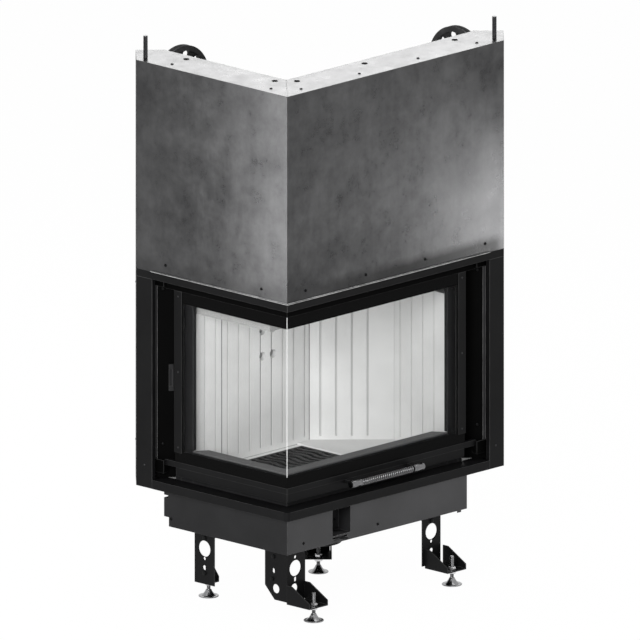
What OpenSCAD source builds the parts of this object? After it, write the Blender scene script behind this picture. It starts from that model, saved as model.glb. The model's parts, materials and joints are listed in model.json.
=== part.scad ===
// Corner fireplace insert with an L-shaped glass door that lifts on cables and counterweights.
// All lengths are millimetres. In plan, x runs along the front from the glass corner to the right,
// and y runs back along the side. The two ends are mirror images across the plane x = y.

/* [Overall] */
// Length of the front, from the glass corner to its right end
front_len = 790; // [760:10:900]
// Length of the side, from the glass corner to its rear end
side_len = 535; // [525:5:620]
// Height of the air box's underside above the floor
stand_h = 166; // [150:2:200]
// Height of the air box
box_h = 95; // [90:1:120]
// Height of the black portal, up to the casing
portal_h = 570.5; // [568:0.5:620]
// Height of the steel casing above the portal
casing_h = 546.5; // [540:0.5:640]
// Sheet thickness of the casing, the portal and the air box
sheet = 2; // [1.5:0.5:3]
// Plate thickness of the firebox
plate = 4; // [3:0.5:6]

/* [Portal] */
// Width of the post at the rear end of the side
post_side_w = 56; // [50:1:60]
// Width of the post at the right end of the front
post_front_w = 52; // [48:1:60]
// Depth of a post's inner return
post_return = 12; // [8:1:14]
// Height of the sill's upright lip
sill_h = 23; // [18:1:26]
// Plan radius of the sill at the glass corner
sill_corner_r = 12; // [6:1:20]
// Height of the top strip
strip_h = 20; // [14:1:26]
// Inset of the top strip from each end
strip_inset = 3; // [0:1:6]
// Length of a 45-degree end wall
end_wall_w = 60; // [50:1:66]
// Thickness of an end wall
end_wall_t = 3; // [2:0.5:4]
// Width of the slot between the post's plane and the end wall
wall_start_x = 26; // [25:0.5:28]
// Set-back of the end wall from the end of the panel
wall_start_y = 40; // [38:0.5:44]
// Width of the bright guide strip
guide_w = 7.4; // [5:0.2:10]
// Thickness of the guide strip
guide_t = 2.5; // [1.5:0.5:3]
// Length of each sloping side of an end column's arrow, in plan, along x
column_d = 71; // [60:1:80]
// Length of the rear slope of the column, in plan, along x
column_back_d = 55; // [40:1:60]

/* [Casing] */
// Width of the folded top flange
flange_w = 122; // [100:1:130]
// Outward lip at the casing's bottom edge
lip_d = 6; // [3:0.5:8]
// Length left without a lip at the far end of each panel
lip_clear = 54; // [40:1:60]
// Diameter of the threaded hanger rods
rod_d = 12; // [10:1:14]
// Height of a hanger rod above the casing
rod_h = 57; // [40:1:80]
// Set-in of a hanger rod from the face
rod_inset = 34; // [28:1:40]
// Diameter of the large flange holes
flange_hole_d = 12; // [8:1:16]
// Set-in of the row of large flange holes
flange_hole_in = 93; // [80:1:100]
// Set-in of the row of small flange screws
flange_screw_in = 31; // [24:1:40]

/* [Firebox] */
// Set-in of the inner frame from the faces
frame_in = 50; // [50:1:54]
// Set-in of the back lining's face
back_face = 409; // [396:1:410]
// Distance of the right lining's face from the glass corner
right_face = 654; // [640:1:660]
// Length of the diagonal between back and right lining, in plan, along x
diagonal_d = 152; // [120:1:170]
// Thickness of the lining panels
lining_t = 30; // [25:1:35]
// Joint between the two back panels, from the side face
back_joint = 182; // [150:1:220]
// Pitch of the grooves in the lining
groove_pitch = 40; // [34:1:50]
// Width of a groove
groove_w = 5; // [3:0.5:8]
// Depth of a groove
groove_d = 3; // [1:0.5:5]
// Height of the firebox floor above the portal's bottom
floor_up = 44; // [40:1:48]
// Height of the lining panels
lining_h = 419; // [410:1:420]
// Thickness of the baffle plates
baffle_t = 28; // [20:1:32]
// Height of the firebox shell
shell_h = 696; // [660:1:720]
// Height of the inner frame's bottom rail
frame_rail_h = 104; // [100:1:104]
// Lower edge of the hood above the portal's bottom
hood_up = 487; // [480:1:495]
// Depth of the threshold ledge
threshold_d = 35; // [30:1:40]
// Inner diameter of the flue collar
flue_d = 200; // [180:5:220]
// Height of the flue collar
flue_h = 80; // [60:5:120]

/* [Door] */
// Set-back of the door rails' outer face
door_in = 28; // [27:0.5:30]
// Height of the door's bottom edge above the portal's bottom
door_up = 39.6; // [36:0.2:42]
// Height of the bottom rail
rail_h = 37.4; // [34:0.2:40]
// Height of the rail's proud face band
rail_band_h = 15; // [10:0.5:18]
// Thickness of the door rails
rail_t = 14; // [12:0.5:16]
// Gap from the rails' ends to the end of the panel
rail_end_gap = 74; // [70:1:80]
// Thickness of the door glass
glass_t = 4; // [3:0.5:5]
// Height of the door glass
glass_h = 489; // [480:1:492]
// Length of the front glass
glass_front_len = 648; // [640:1:652]
// Length of the side glass
glass_side_len = 396; // [390:1:398]
// Width of the door stiles
stile_w = 24; // [18:1:30]
// Travel of the door from closed to fully lifted
door_lift = 470; // [400:5:475]
// Diameter of the handle
handle_d = 19; // [16:0.5:22]
// Start of the handle from the glass corner
handle_x = 227; // [200:1:260]
// Length of the handle
handle_len = 263; // [220:1:300]
// Length of a handle sleeve
sleeve_len = 37; // [25:1:45]
// Stand-off of the handle's axis in front of the front face
handle_out = 4; // [0:0.5:10]
// Number of curls on the handle's coil
curls = 26; // [16:1:28]

/* [Lift gear] */
// Diameter of the cable wheels
wheel_d = 190; // [180:2:192]
// Thickness of the cable wheels
wheel_t = 18; // [14:1:20]
// Height of the wheels' axis above the casing's bottom
wheel_up = 458.5; // [440:0.5:460]
// Number of windows in a wheel
wheel_windows = 10; // [6:1:12]
// Diameter of the cables
cable_d = 4; // [3:0.5:5]
// Height of a counterweight
weight_h = 330; // [300:5:340]
// Width of a counterweight
weight_w = 76; // [60:1:80]
// Thickness of a counterweight
weight_t = 30; // [24:1:32]

/* [Base] */
// Set-in of the air box from the faces
box_in = 20; // [16:1:22]
// Right end of the air box, short of the front's end
box_end_gap = 114; // [100:1:130]
// Rear end of the air box, short of the side's end
box_rear_gap = 79; // [70:1:90]
// Left edge of the recess in the air box's front
recess_x = 186; // [170:1:200]
// Width of the recess
recess_w = 65; // [60:1:75]
// Depth of the recess behind the box's front
recess_d = 42; // [30:1:50]
// Height of the recess floor above the box's underside
recess_up = 19; // [18:1:24]
// Width of the air lever
lever_w = 16; // [12:1:20]
// Travel of the air lever to each side
lever_travel = 18; // [10:1:18]
// Outer diameter of the outside-air collar
air_collar_d = 125; // [100:5:125]
// Length of the outside-air collar
air_collar_h = 55; // [40:1:60]
// Thickness of the leg plates
leg_t = 3; // [2:0.5:4]
// Height of the foot bracket's floor above the ground
bracket_up = 37; // [34:1:44]
// Width of a foot bracket
bracket_w = 68; // [60:1:72]
// Length of a foot bracket in front of its leg
bracket_l = 81; // [70:1:84]
// Height of a bracket's gusset at the leg
gusset_h = 50; // [40:1:55]
// Height of a bracket's gusset at the tip
gusset_tip_h = 15; // [10:1:20]
// Distance of the foot's hole from the bracket's tip
foot_from_tip = 18; // [17:1:22]
// Diameter of a levelling foot's disc
foot_d = 52; // [40:1:56]
// Diameter of a levelling foot's spindle
spindle_d = 10; // [8:1:12]
// Height of a levelling foot's spindle above the ground
spindle_h = 75; // [72:1:80]

/* [Hidden] */

$fn = 48;
// Overrun of cuts past a face
over = 1;
// Clearance between pieces that move past each other, or that are laid in place
fit = 0.3;
// Clearance of a hole round its bolt
hole_fit = 0.2;
// Length of a 45-degree offset, as a multiple of the thickness
diag = sqrt(2);
half = 1 / 2;

// Levels
portal_z = stand_h + box_h;
casing_z = portal_z + portal_h;
top_z = casing_z + casing_h;
strip_z = casing_z - strip_h;
base_t = 3;
// Depth of the glass in the bottom rail, and play above it in the top rail
glass_seat = 12;
glass_over = 11;
stile_gap = 24.5;
floor_z = portal_z + floor_up;
hood_z = portal_z + hood_up;
frame_rail_z = portal_z + frame_rail_h;
threshold_z = frame_rail_z + plate;
door_z = portal_z + door_up;
rail_top_z = door_z + rail_h;
band_z = rail_top_z - rail_band_h;
glass_z = rail_top_z - glass_seat;
glass_top_z = glass_z + glass_h;
wheel_z = casing_z + wheel_up;
shell_z = portal_z + base_t;
roof_z = shell_z + shell_h;

// Plan of the whole part, for the origin at the bottom centre of its box
plan_right = front_len + column_d;
plan_rear = side_len + column_d;
foot_front = box_in + sheet - bracket_l + foot_from_tip - foot_d * half;
origin_x = (plan_right - lip_d) * half;
origin_y = (plan_rear + foot_front) * half;

// Firebox plan
shell_back_in = back_face + lining_t + fit;
shell_right_in = right_face + lining_t + fit;
shell_back = shell_back_in + plate;
shell_right = shell_right_in + plate;
diag_sum = back_face + right_face - diagonal_d;
shell_in_sum = diag_sum + (lining_t + fit) * diag;
shell_sum = shell_in_sum + plate * diag;
post_side_proud = 27;
post_side_behind = 15;
post_front_proud = 18;
post_front_behind = 20;
post_side_y = back_face - post_side_proud;
post_side_end = back_face + post_side_behind;
post_front_x = right_face - post_front_proud;
post_front_end = right_face + post_front_behind;
frame_back = frame_in + plate;

// Door plan
rail_skin = 2;
glass_in = door_in + rail_skin;
glass_back = glass_in + glass_t;
rail_back = door_in + rail_t;
rail_front_end = front_len - rail_end_gap;
rail_side_end = side_len - rail_end_gap;
glass_front_end = glass_in + glass_front_len;
glass_side_end = glass_in + glass_side_len;
stile_z = rail_top_z + stile_gap;
door_top_rail_z = strip_z - stile_gap;
door_top_z = glass_top_z + glass_over;
slot_fit = 0.15;
stile_back_t = 5;
stile_back = glass_back + stile_back_t;

// Lift gear, in the frame of one end
groove_depth = 7;
rope_r = wheel_d * half - groove_depth;
wheel_from_rod = 129;
wheel_x = rod_inset + wheel_from_rod;
rope_door_x = wheel_x - rope_r;
rope_weight_x = wheel_x + rope_r;
axle_d = 14;
weight_below_wheel = 115;
weight_top_z = wheel_z - weight_below_wheel;
weight_z = weight_top_z - weight_h;
weight_gap = 3;
guide_half = weight_w * half + weight_gap;
guide_back = weight_t * half + weight_gap;
guide_over = 10;
guide_top_z = weight_top_z + guide_over;
guide_bottom_z = weight_z - door_lift - guide_over;
guide_reach_side = side_len - shell_back;
guide_reach_front = front_len - shell_right;
mount_t = 4;

// Air box
box_right = front_len - box_end_gap;
box_rear = side_len - box_rear_gap;
box_diag_sum = 798;
lever_from_edge = 27;
lever_up = 12.5;
lever_x = recess_x + lever_from_edge;
lever_z = stand_h + lever_up;
lever_t = 3;
lever_tip_y = -6;

// Runs a child at the rear end of the side, or, mirrored, at the right end of the front
module side_end() translate([0, side_len, 0]) children();
module front_end() translate([front_len, 0, 0]) mirror([1, -1, 0]) children();
module both_ends() {
    side_end() children();
    front_end() children();
}
module placed() translate([-origin_x, -origin_y, 0]) children();

// A box from its low corner to its high corner
module block(low, high) translate(low) cube(high - low);

// A plan outline pulled up from one height to another
module rise(z_low, z_high, outline)
    translate([0, 0, z_low]) linear_extrude(z_high - z_low) polygon(outline);

// An L-shaped band in plan, between two insets from the faces
function elbow(outer, inner, x_end, y_end) =
    [[outer, outer], [x_end, outer], [x_end, inner], [inner, inner], [inner, y_end], [outer, y_end]];

module upright(x, y, z_low, z_high, d) translate([x, y, z_low]) cylinder(h = z_high - z_low, d = d);
// A round bar along y or along x
module bar_y(x, z, y_low, y_high, d)
    translate([x, y_high, z]) rotate([90, 0, 0]) cylinder(h = y_high - y_low, d = d);
module bar_x(y, z, x_low, x_high, d)
    translate([x_low, y, z]) rotate([0, 90, 0]) cylinder(h = x_high - x_low, d = d);

// A button-head screw whose head lies on the plane z = 0 and points up
screw_head_d = 8;
screw_head_h = 2.4;
module button_screw() cylinder(h = screw_head_h, d = screw_head_d);
// The same on an upright face, its head pointing to -y or to -x
module screw_front(x, y, z) translate([x, y, z]) rotate([90, 0, 0]) button_screw();
module screw_side(x, y, z) translate([x, y, z]) rotate([0, -90, 0]) button_screw();
module screw_up(x, y, z) translate([x, y, z]) button_screw();

dark = "#1c1c1d";
darker = "#141415";
grey = "#3a3b3c";
raw = "#8e8f90";
bright = "#c9cacb";
stone = "#d3d2cf";

/* Base */

function box_plan(inset, rear) = [
    [box_in + inset, box_in + inset],
    [box_right - inset, box_in + inset],
    [box_right - inset, box_diag_sum - box_right],
    [box_diag_sum - rear, rear - inset],
    [box_in + inset, rear - inset]
];
notch_up = 74;
notch_h = 7;
notch_d = 14;
step_h = 24;
step_d = 17;
tab_w = 14;
tab_drop = 5;
tab_from_end = 35;
slot_half_z = lever_t * half + fit;
air_hole_x = 330;
air_hole_y = 215;

module recess_shell() {
    difference() {
        block([recess_x - sheet, box_in, stand_h + recess_up - sheet],
              [recess_x + recess_w + sheet, box_in + recess_d + sheet, portal_z]);
        block([recess_x, box_in - over, stand_h + recess_up],
              [recess_x + recess_w, box_in + recess_d, portal_z + over]);
    }
}

module air_box() color(grey) difference() {
    union() {
        difference() {
            union() {
                rise(stand_h, stand_h + step_h, box_plan(0, box_rear - step_d));
                rise(stand_h + step_h, portal_z, box_plan(0, box_rear));
            }
            rise(stand_h + sheet, portal_z + over, box_plan(sheet, box_rear - step_d));
            rise(stand_h + step_h + sheet, portal_z + over, box_plan(sheet, box_rear));
            block([recess_x, box_in - over, stand_h + recess_up],
                  [recess_x + recess_w, box_in + recess_d, portal_z + over]);
        }
        recess_shell();
        block([box_right - tab_from_end, box_in, stand_h - tab_drop],
              [box_right - tab_from_end + tab_w, box_in + sheet, stand_h + sheet]);
    }
    // Slot for the air lever, wide enough for its travel
    block([lever_x - lever_travel - lever_w * half - fit, box_in - over, lever_z - slot_half_z],
          [lever_x + lever_travel + lever_w * half + fit, box_in + sheet + over, lever_z + slot_half_z]);
    upright(air_hole_x, air_hole_y, stand_h - over, stand_h + sheet + over,
            air_collar_d - sheet * 2);
    // Notch in the rear corner of the side wall
    block([box_in - over, box_rear - notch_d, stand_h + notch_up],
          [box_in + notch_d + sheet, box_rear + over, stand_h + notch_up + notch_h]);
}

module air_collar() color(grey) difference() {
    upright(air_hole_x, air_hole_y, stand_h - air_collar_h, stand_h, air_collar_d);
    upright(air_hole_x, air_hole_y, stand_h - air_collar_h - over, stand_h + over,
            air_collar_d - sheet * 2);
}

module base_plate() color(dark) difference() {
    rise(portal_z, shell_z, [
        [sheet + fit, sill_corner_r + sheet], [sill_corner_r + sheet, sheet + fit],
        [front_len - fit, sheet + fit], [front_len - fit, base_k - fit],
        [front_len + column_d - base_k, column_d],
        [front_len + column_d - base_k - column_back_d * half, column_d + column_back_d * half],
        [shell_right, column_d + column_back_d + (front_len - shell_right) * half],
        [shell_right, shell_sum - shell_right], [shell_sum - shell_back, shell_back],
        [column_d + column_back_d + (side_len - shell_back) * half, shell_back],
        [column_d + column_back_d * half, side_len + column_d - base_k - column_back_d * half],
        [column_d, side_len + column_d - base_k], [base_k - fit, side_len - fit],
        [sheet + fit, side_len - fit]
    ]);
    upright(grate_mid_x, grate_mid_y, portal_z - over, shell_z + over, ash_hole_d);
}
ash_hole_d = 120;
base_k = (sheet + fit) * diag;

// A flat lever with a rounded, holed tip, and the shutter plate that it moves under the recess
lever_hole_d = 9;
shutter_w = 60;
shutter_d = 34;
lever_in = 30;
module air_lever() color(dark) translate([lever_x, 0, lever_z - lever_t * half]) difference() {
    union() {
        block([-lever_w * half, lever_tip_y + lever_w * half, 0],
              [lever_w * half, box_in + lever_in, lever_t]);
        translate([0, lever_tip_y + lever_w * half, 0]) cylinder(h = lever_t, d = lever_w);
        block([-shutter_w * half, box_in + lever_in, 0],
              [shutter_w * half, box_in + lever_in + shutter_d, lever_t]);
    }
    translate([0, lever_tip_y + lever_w * half, -over]) cylinder(h = lever_t + over * 2, d = lever_hole_d);
}

// A leg plate in the plane of the side, from x = 0 inwards, with its welded top flange
leg_flange = 26;
slot_d = 9;
module leg_hole_side(y, z, d) translate([-over, y, z]) rotate([0, 90, 0])
    cylinder(h = leg_t + over * 2, d = d);
module leg_slot_side(y, z, l) {
    leg_hole_side(y, z - l * half, slot_d);
    leg_hole_side(y, z + l * half, slot_d);
    block([-over, y - slot_d * half, z - l * half], [leg_t + over, y + slot_d * half, z + l * half]);
}
big_hole_d = 42;
mid_hole_d = 24;
small_hole_d = 9;
leg_face = box_in + sheet;
corner_leg_z = bracket_up + 4.5;
corner_leg_side_w = 78.5;
corner_leg_front_w = bracket_w - sheet;
corner_chamfer = 34;
// Heights below the air box and set-ins from the corner of the leg's holes
side_slot_y = 48.5;
side_slot_down = 49;
side_mid_y = 40;
side_mid_down = 95;
front_hole_x = 30.5;
front_top_down = 10;
front_big_down = 39;
front_slot_down = 68;
front_mid_down = 91;
front_mid_x = 27;
slot_l = 4;
module leg_corner() color(dark) translate([leg_face, leg_face, 0]) difference() {
    union() {
        rotate([90, 0, 90]) linear_extrude(leg_t) polygon([
            [0, corner_leg_z], [corner_leg_side_w - corner_chamfer, corner_leg_z],
            [corner_leg_side_w, corner_leg_z + corner_chamfer], [corner_leg_side_w, stand_h], [0, stand_h]
        ]);
        block([0, 0, corner_leg_z], [corner_leg_front_w, leg_t, stand_h]);
        block([0, 0, stand_h - leg_t], [leg_flange, corner_leg_side_w, stand_h]);
    }
    leg_slot_side(side_slot_y, stand_h - side_slot_down, slot_l);
    leg_hole_side(side_mid_y, stand_h - side_mid_down, mid_hole_d);
    mirror([1, -1, 0]) {
        leg_hole_side(front_hole_x, stand_h - front_top_down, small_hole_d);
        leg_hole_side(front_hole_x, stand_h - front_big_down, big_hole_d);
        leg_slot_side(front_hole_x, stand_h - front_slot_down, slot_l);
        leg_hole_side(front_mid_x, stand_h - front_mid_down, mid_hole_d);
    }
}

// The plate of a straight leg, drawn in the side's plane with its low corner at the origin
module straight_leg(w, low) difference() {
    union() {
        block([0, 0, low], [leg_t, w, stand_h]);
        block([0, 0, stand_h - leg_t], [leg_flange, w, stand_h]);
    }
    leg_hole_side(w * half, stand_h - leg_big_down, big_hole_d);
    leg_hole_side(w * half, stand_h - leg_slot_down, slot_d);
    leg_hole_side(w * half, stand_h - leg_mid_down, leg_mid_d);
}
leg_big_down = 36;
leg_slot_down = 62;
leg_mid_down = 86;
leg_mid_d = 13;
straight_leg_w = 67;
rear_leg_w = 60;
front_leg_from_end = 161;
side_leg_from_rear = 176;
front_leg_x = box_right - front_leg_from_end;
side_leg_y = box_rear - side_leg_from_rear;
module leg_front_right() color(dark)
    translate([front_leg_x, leg_face, 0]) mirror([1, -1, 0])
        straight_leg(straight_leg_w, bracket_up + leg_t * 2);
module leg_rear_left() color(dark)
    translate([leg_face, side_leg_y, 0]) straight_leg(straight_leg_w + leg_t, bracket_up - hole_fit);

// Places a child on the diagonal wall of the air box: x inwards from the wall, y along it
diag_leg_shift = 61;
module on_diagonal()
    translate([box_diag_sum * half + diag_leg_shift, box_diag_sum * half - diag_leg_shift, 0])
        rotate([0, 0, 225]) mirror([0, 1, 0]) children();
module leg_rear_right() color(dark)
    on_diagonal() translate([sheet, -rear_leg_w * half, 0]) straight_leg(rear_leg_w, bracket_up + hole_fit);

// A U-shaped foot bracket: its leg end at y = 0, its tip at y = -length, its left gusset at x = 0
gusset_flat = 18;
module gusset(l) rotate([90, 0, 90]) linear_extrude(leg_t) polygon([
    [0, 0], [0, gusset_h], [-gusset_flat, gusset_h], [-l, gusset_tip_h], [-l, 0]
]);
module foot_bracket(w, l) difference() {
    union() {
        gusset(l);
        translate([w - leg_t, 0, 0]) gusset(l);
        block([0, -l, 0], [w, 0, leg_t]);
    }
    translate([w * half, -l + foot_from_tip, -over])
        cylinder(h = leg_t + over * 2, d = spindle_d + hole_fit * 2);
}
front_leg_off = 9;
// The rear left foot stands behind its leg, on a short and narrow bracket
short_w = 40;
short_l = 46;
// Runs its first child at each long bracket's place and its second at the short one's
module at_brackets() {
    translate([box_in, leg_face, 0]) children(0);
    translate([front_leg_x + front_leg_off, leg_face, 0]) children(0);
    on_diagonal() translate([sheet + leg_t, bracket_w * half, 0]) rotate([0, 0, -90])
        mirror([0, 1, 0]) children(0);
    translate([leg_face + leg_t, side_leg_y + straight_leg_w + leg_t, 0]) children(1);
}
module foot_brackets() color(dark) translate([0, 0, bracket_up]) at_brackets() {
    foot_bracket(bracket_w, bracket_l);
    foot_bracket(short_w, short_l);
}
// Runs a child at the axis of each levelling foot
module at_feet() at_brackets() {
    translate([bracket_w * half, -bracket_l + foot_from_tip, 0]) children();
    translate([short_w * half, -short_l + foot_from_tip, 0]) children();
}

disc_t = 3;
cone_d = 36;
cone_top_d = 14;
cone_h = 16;
module levelling_feet() color(bright) at_feet() rotate_extrude() polygon([
    [0, 0], [foot_d * half, 0], [foot_d * half, disc_t], [cone_d * half, disc_t],
    [cone_top_d * half, disc_t + cone_h], [spindle_d * half, disc_t + cone_h],
    [spindle_d * half, spindle_h], [0, spindle_h]
]);

nut_share = 1.96;
nut_h_share = 0.8;
nut_fit = 0.05;
// A hexagon nut for a thread of diameter d, its underside at z = 0 and its hole round a bar of diameter core
module hex_nut(d, core) difference() {
    cylinder(h = d * nut_h_share, d = d * nut_share, $fn = 6);
    translate([0, 0, -over]) cylinder(h = d * nut_h_share + over * 2, d = core + nut_fit * 2);
}
module hex_nuts() color(bright) {
    at_feet() translate([0, 0, bracket_up - spindle_d * nut_h_share]) hex_nut(spindle_d, spindle_d);
    at_feet() translate([0, 0, bracket_up + leg_t]) hex_nut(spindle_d, spindle_d);
    both_ends() translate([rod_inset, 0, top_z - sheet - rod_d * nut_h_share])
        hex_nut(rod_d, rod_d - rod_neck);
}

module leg_bolts() color(bright) {
    for (at = [[side_slot_y, bolt_down], [side_slot_y + slot_l, low_bolt_down]])
        translate([leg_face, leg_face + at[0], stand_h - at[1]]) rotate([0, -90, 0]) leg_bolt();
    for (down = [straight_bolt_down, straight_low_bolt_down]) {
        translate([leg_face, side_leg_y + straight_leg_w * half, stand_h - down])
            rotate([0, -90, 0]) leg_bolt();
        translate([front_leg_x + straight_leg_w * half, leg_face, stand_h - down])
            rotate([90, 0, 0]) leg_bolt();
    }
}
bolt_down = 12;
low_bolt_down = 71;
straight_bolt_down = 8;
straight_low_bolt_down = 100;
bolt_d = 8;
bolt_head_h = 4;
module leg_bolt() cylinder(h = bolt_head_h, d = bolt_d + bolt_head_h, $fn = 6);

/* Portal */

module post(w) {
    block([0, -w, portal_z], [sheet, 0, strip_z]);
    block([0, -w, shell_z], [post_return, -w + sheet, strip_z]);
}
module portal_post_side() color(dark) side_end() post(post_side_w);
module portal_post_front() color(dark) front_end() post(post_front_w);

function arc(cx, cy, r, from, to, steps) =
    [for (i = [0:steps]) let(a = from + (to - from) * i / steps) [cx + r * cos(a), cy + r * sin(a)]];
arc_steps = 8;
function sill_plan(inset, x_end, y_end) = concat(
    arc(sill_corner_r + inset, sill_corner_r + inset, sill_corner_r, 180, 270, arc_steps),
    [[x_end, inset], [x_end, frame_in], [frame_in, frame_in], [frame_in, y_end], [inset, y_end]]
);
module portal_sill() color(darker) difference() {
    rise(portal_z, portal_z + sill_h,
         sill_plan(0, front_len - post_front_w, side_len - post_side_w));
    rise(portal_z - over, portal_z + sill_h - sheet,
         sill_plan(sheet, front_len - post_front_w + over, side_len - post_side_w + over));
    block([frame_in - over, frame_in - over, portal_z], [front_len, side_len, portal_z + sill_h - sheet]);
}

module portal_strip() color(dark)
    rise(strip_z, casing_z, elbow(0, sheet, front_len - strip_inset, side_len - strip_inset));

// The 45-degree wall that closes each end behind the post, drawn along x from its outer edge
module on_end_wall() translate([wall_start_x, -wall_start_y, 0]) rotate([0, 0, -45]) children();
module end_walls() color(darker) both_ends() on_end_wall()
    block([0, 0, portal_z + sill_h], [end_wall_w, end_wall_t, top_z - sheet]);
guide_up = 47;
module guide_strips() color(raw) both_ends() on_end_wall()
    block([0, -guide_t, portal_z + guide_up], [guide_w, 0, top_z - sheet]);

catch_up = 252;
catch_z = portal_z + catch_up;
catch_h = 69;
catch_w = 12;
catch_d = 9;
module door_catch() color(grey) side_end() on_end_wall() difference() {
    block([end_wall_w - catch_w * 2, -catch_d, catch_z], [end_wall_w - catch_w, 0, catch_z + catch_h]);
    block([end_wall_w - catch_w * 2 + sheet, -catch_d - over, catch_z + catch_w],
          [end_wall_w - catch_w - sheet, -sheet, catch_z + catch_h - catch_w]);
}

// An L-shaped plate, folded to an arrow in plan, that closes each end from outside
column_k = sheet * diag;
module end_columns() color(darker) both_ends() rise(portal_z, top_z - sheet, [
    [0, 0], [column_d, column_d], [column_d + column_back_d, column_d - column_back_d],
    [column_d + column_back_d - column_k * half, column_d - column_back_d - column_k * half],
    [column_d, column_d - column_k], [column_k, 0]
]);

/* Casing */

// Half of the casing, in the side's plane: panel, top flange with its arrow end, and bottom lip
module casing_half(length, big_holes) difference() {
    union() {
        rise(casing_z, top_z, [[0, 0], [sheet, sheet], [sheet, length], [0, length]]);
        rise(top_z - sheet, top_z, [
            [0, 0], [flange_w, flange_w], [flange_w, length + flange_w - column_back_d * 2],
            [column_d + column_back_d, length + column_d - column_back_d],
            [column_d, length + column_d], [0, length]
        ]);
        rise(casing_z, casing_z + sheet,
             [[0, 0], [0, length - lip_clear], [-lip_d, length - lip_clear], [-lip_d, -lip_d]]);
    }
    for (y = big_holes) upright(flange_hole_in, y, top_z - sheet - over, top_z + over, flange_hole_d);
    upright(rod_inset, length, top_z - sheet - over, top_z + over, rod_d + hole_fit * 2);
}
side_big_share = [0.252, 0.837];
side_small_share = [0.164, 0.819];
side_low_share = [0.172, 0.806];
front_big_share = [0.166, 0.478, 0.894];
front_small_share = [0.104, 0.373, 0.644, 0.915];
front_low_share = [0.085, 0.363, 0.637, 0.913];
module casing_side() color(raw)
    casing_half(side_len, [for (s = side_big_share) s * side_len]);
module casing_front() color(raw)
    mirror([1, -1, 0]) casing_half(front_len, [for (s = front_big_share) s * front_len]);

rod_below = 40;
rod_neck = 1;
// The rod is thinner where it passes the flange and its nut
module hanger_rods() color(grey) both_ends() {
    upright(rod_inset, 0, top_z - rod_below, top_z, rod_d - rod_neck);
    upright(rod_inset, 0, top_z, top_z + rod_h, rod_d);
}

low_screw_up = 25.5;
module dark_screws() color(darker) {
    for (s = side_low_share) screw_side(0, s * side_len, casing_z + low_screw_up);
    for (s = front_low_share) screw_front(s * front_len, 0, casing_z + low_screw_up);
    for (s = side_small_share) screw_up(flange_screw_in, s * side_len, top_z);
    for (s = front_small_share) screw_up(s * front_len, flange_screw_in, top_z);
    both_ends() {
        on_end_wall() for (z = [portal_z + wall_screw_up, strip_z - wall_screw_down])
            translate([end_wall_w * half - catch_d, 0, z]) rotate([90, 0, 0]) button_screw();
        // On the column's slope, near its outer fold
        for (z = [portal_z + column_screw_up, strip_z - column_screw_down])
            translate([column_d - screw_head_d, column_d - screw_head_d, z])
                rotate([0, 0, 45]) rotate([-90, 0, 0]) small_screw();
        translate([0, -post_screw_in, portal_z + post_screw_up]) rotate([0, -90, 0]) small_screw();
    }
    for (x = [box_screw_x, box_screw_far_x]) screw_front(x, box_in, stand_h + box_screw_up);
    translate([recess_x + recess_w - screw_head_d * 2, box_in + recess_d, stand_h + box_h * half])
        rotate([90, 0, 0]) button_screw();
    screw_side(box_in, box_rear - box_rear_screw_in, stand_h + box_screw_up);
    // Blind threads in the flange's large holes
    for (s = side_big_share) flange_insert(flange_hole_in, s * side_len);
    for (s = front_big_share) flange_insert(s * front_len, flange_hole_in);
}
wall_screw_up = 111;
wall_screw_down = 32.5;
column_screw_up = 97.8;
column_screw_down = 39.8;
post_screw_in = 29.5;
post_screw_up = 59;
box_screw_x = box_in + 60;
box_screw_from_end = 326;
box_screw_far_x = box_right - box_screw_from_end;
box_screw_up = 21;
box_rear_screw_in = 25;
insert_h = 12;
insert_low = 0.8;
module flange_insert(x, y)
    upright(x, y, top_z - insert_h, top_z - insert_low, flange_hole_d - fit * 2);

small_screw_d = 5;
small_screw_h = 1.2;
stile_screw_in = 14;
module small_screw() cylinder(h = small_screw_h, d = small_screw_d);
module stile_screws() color(darker)
    for (z = [
        stile_z + stile_screw_in, (stile_z + door_top_rail_z) * half, door_top_rail_z - stile_screw_in
    ]) {
        translate([door_in, glass_side_end - stile_w * half, z]) rotate([0, -90, 0]) small_screw();
        translate([glass_front_end - stile_w * half, door_in, z]) rotate([90, 0, 0]) small_screw();
    }

/* Firebox */

module firebox_shell() color(grey) rise(shell_z, roof_z, [
    [frame_in, post_side_end], [frame_in, shell_back], [shell_sum - shell_back, shell_back],
    [shell_right, shell_sum - shell_right], [shell_right, frame_in], [post_front_end, frame_in],
    [post_front_end, frame_back], [shell_right_in, frame_back],
    [shell_right_in, shell_in_sum - shell_right_in], [shell_in_sum - shell_back_in, shell_back_in],
    [frame_back, shell_back_in], [frame_back, post_side_end]
]);

module firebox_hood() color(grey) {
    rise(hood_z, roof_z, elbow(frame_in, frame_back, post_front_end, post_side_end));
    rise(hood_z, hood_z + plate, elbow(frame_in, frame_back + hood_lip, post_front_x, post_side_y));
}
hood_lip = 16;

module firebox_roof() color(grey) difference() {
    rise(roof_z, roof_z + plate, [
        [frame_in, frame_in], [shell_right, frame_in], [shell_right, shell_sum - shell_right],
        [shell_sum - shell_back, shell_back], [frame_in, shell_back]
    ]);
    upright(flue_x, flue_y, roof_z - over, roof_z + plate + over, flue_d);
}
flue_x = (frame_in + shell_right) * half;
flue_ahead = 20;
flue_y = (frame_in + shell_back) * half - flue_ahead;
flue_t = 3;
module flue_collar() color(grey) difference() {
    upright(flue_x, flue_y, roof_z + plate, roof_z + plate + flue_h, flue_d + flue_t * 2);
    upright(flue_x, flue_y, roof_z + plate - over, roof_z + plate + flue_h + over, flue_d);
}

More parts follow.
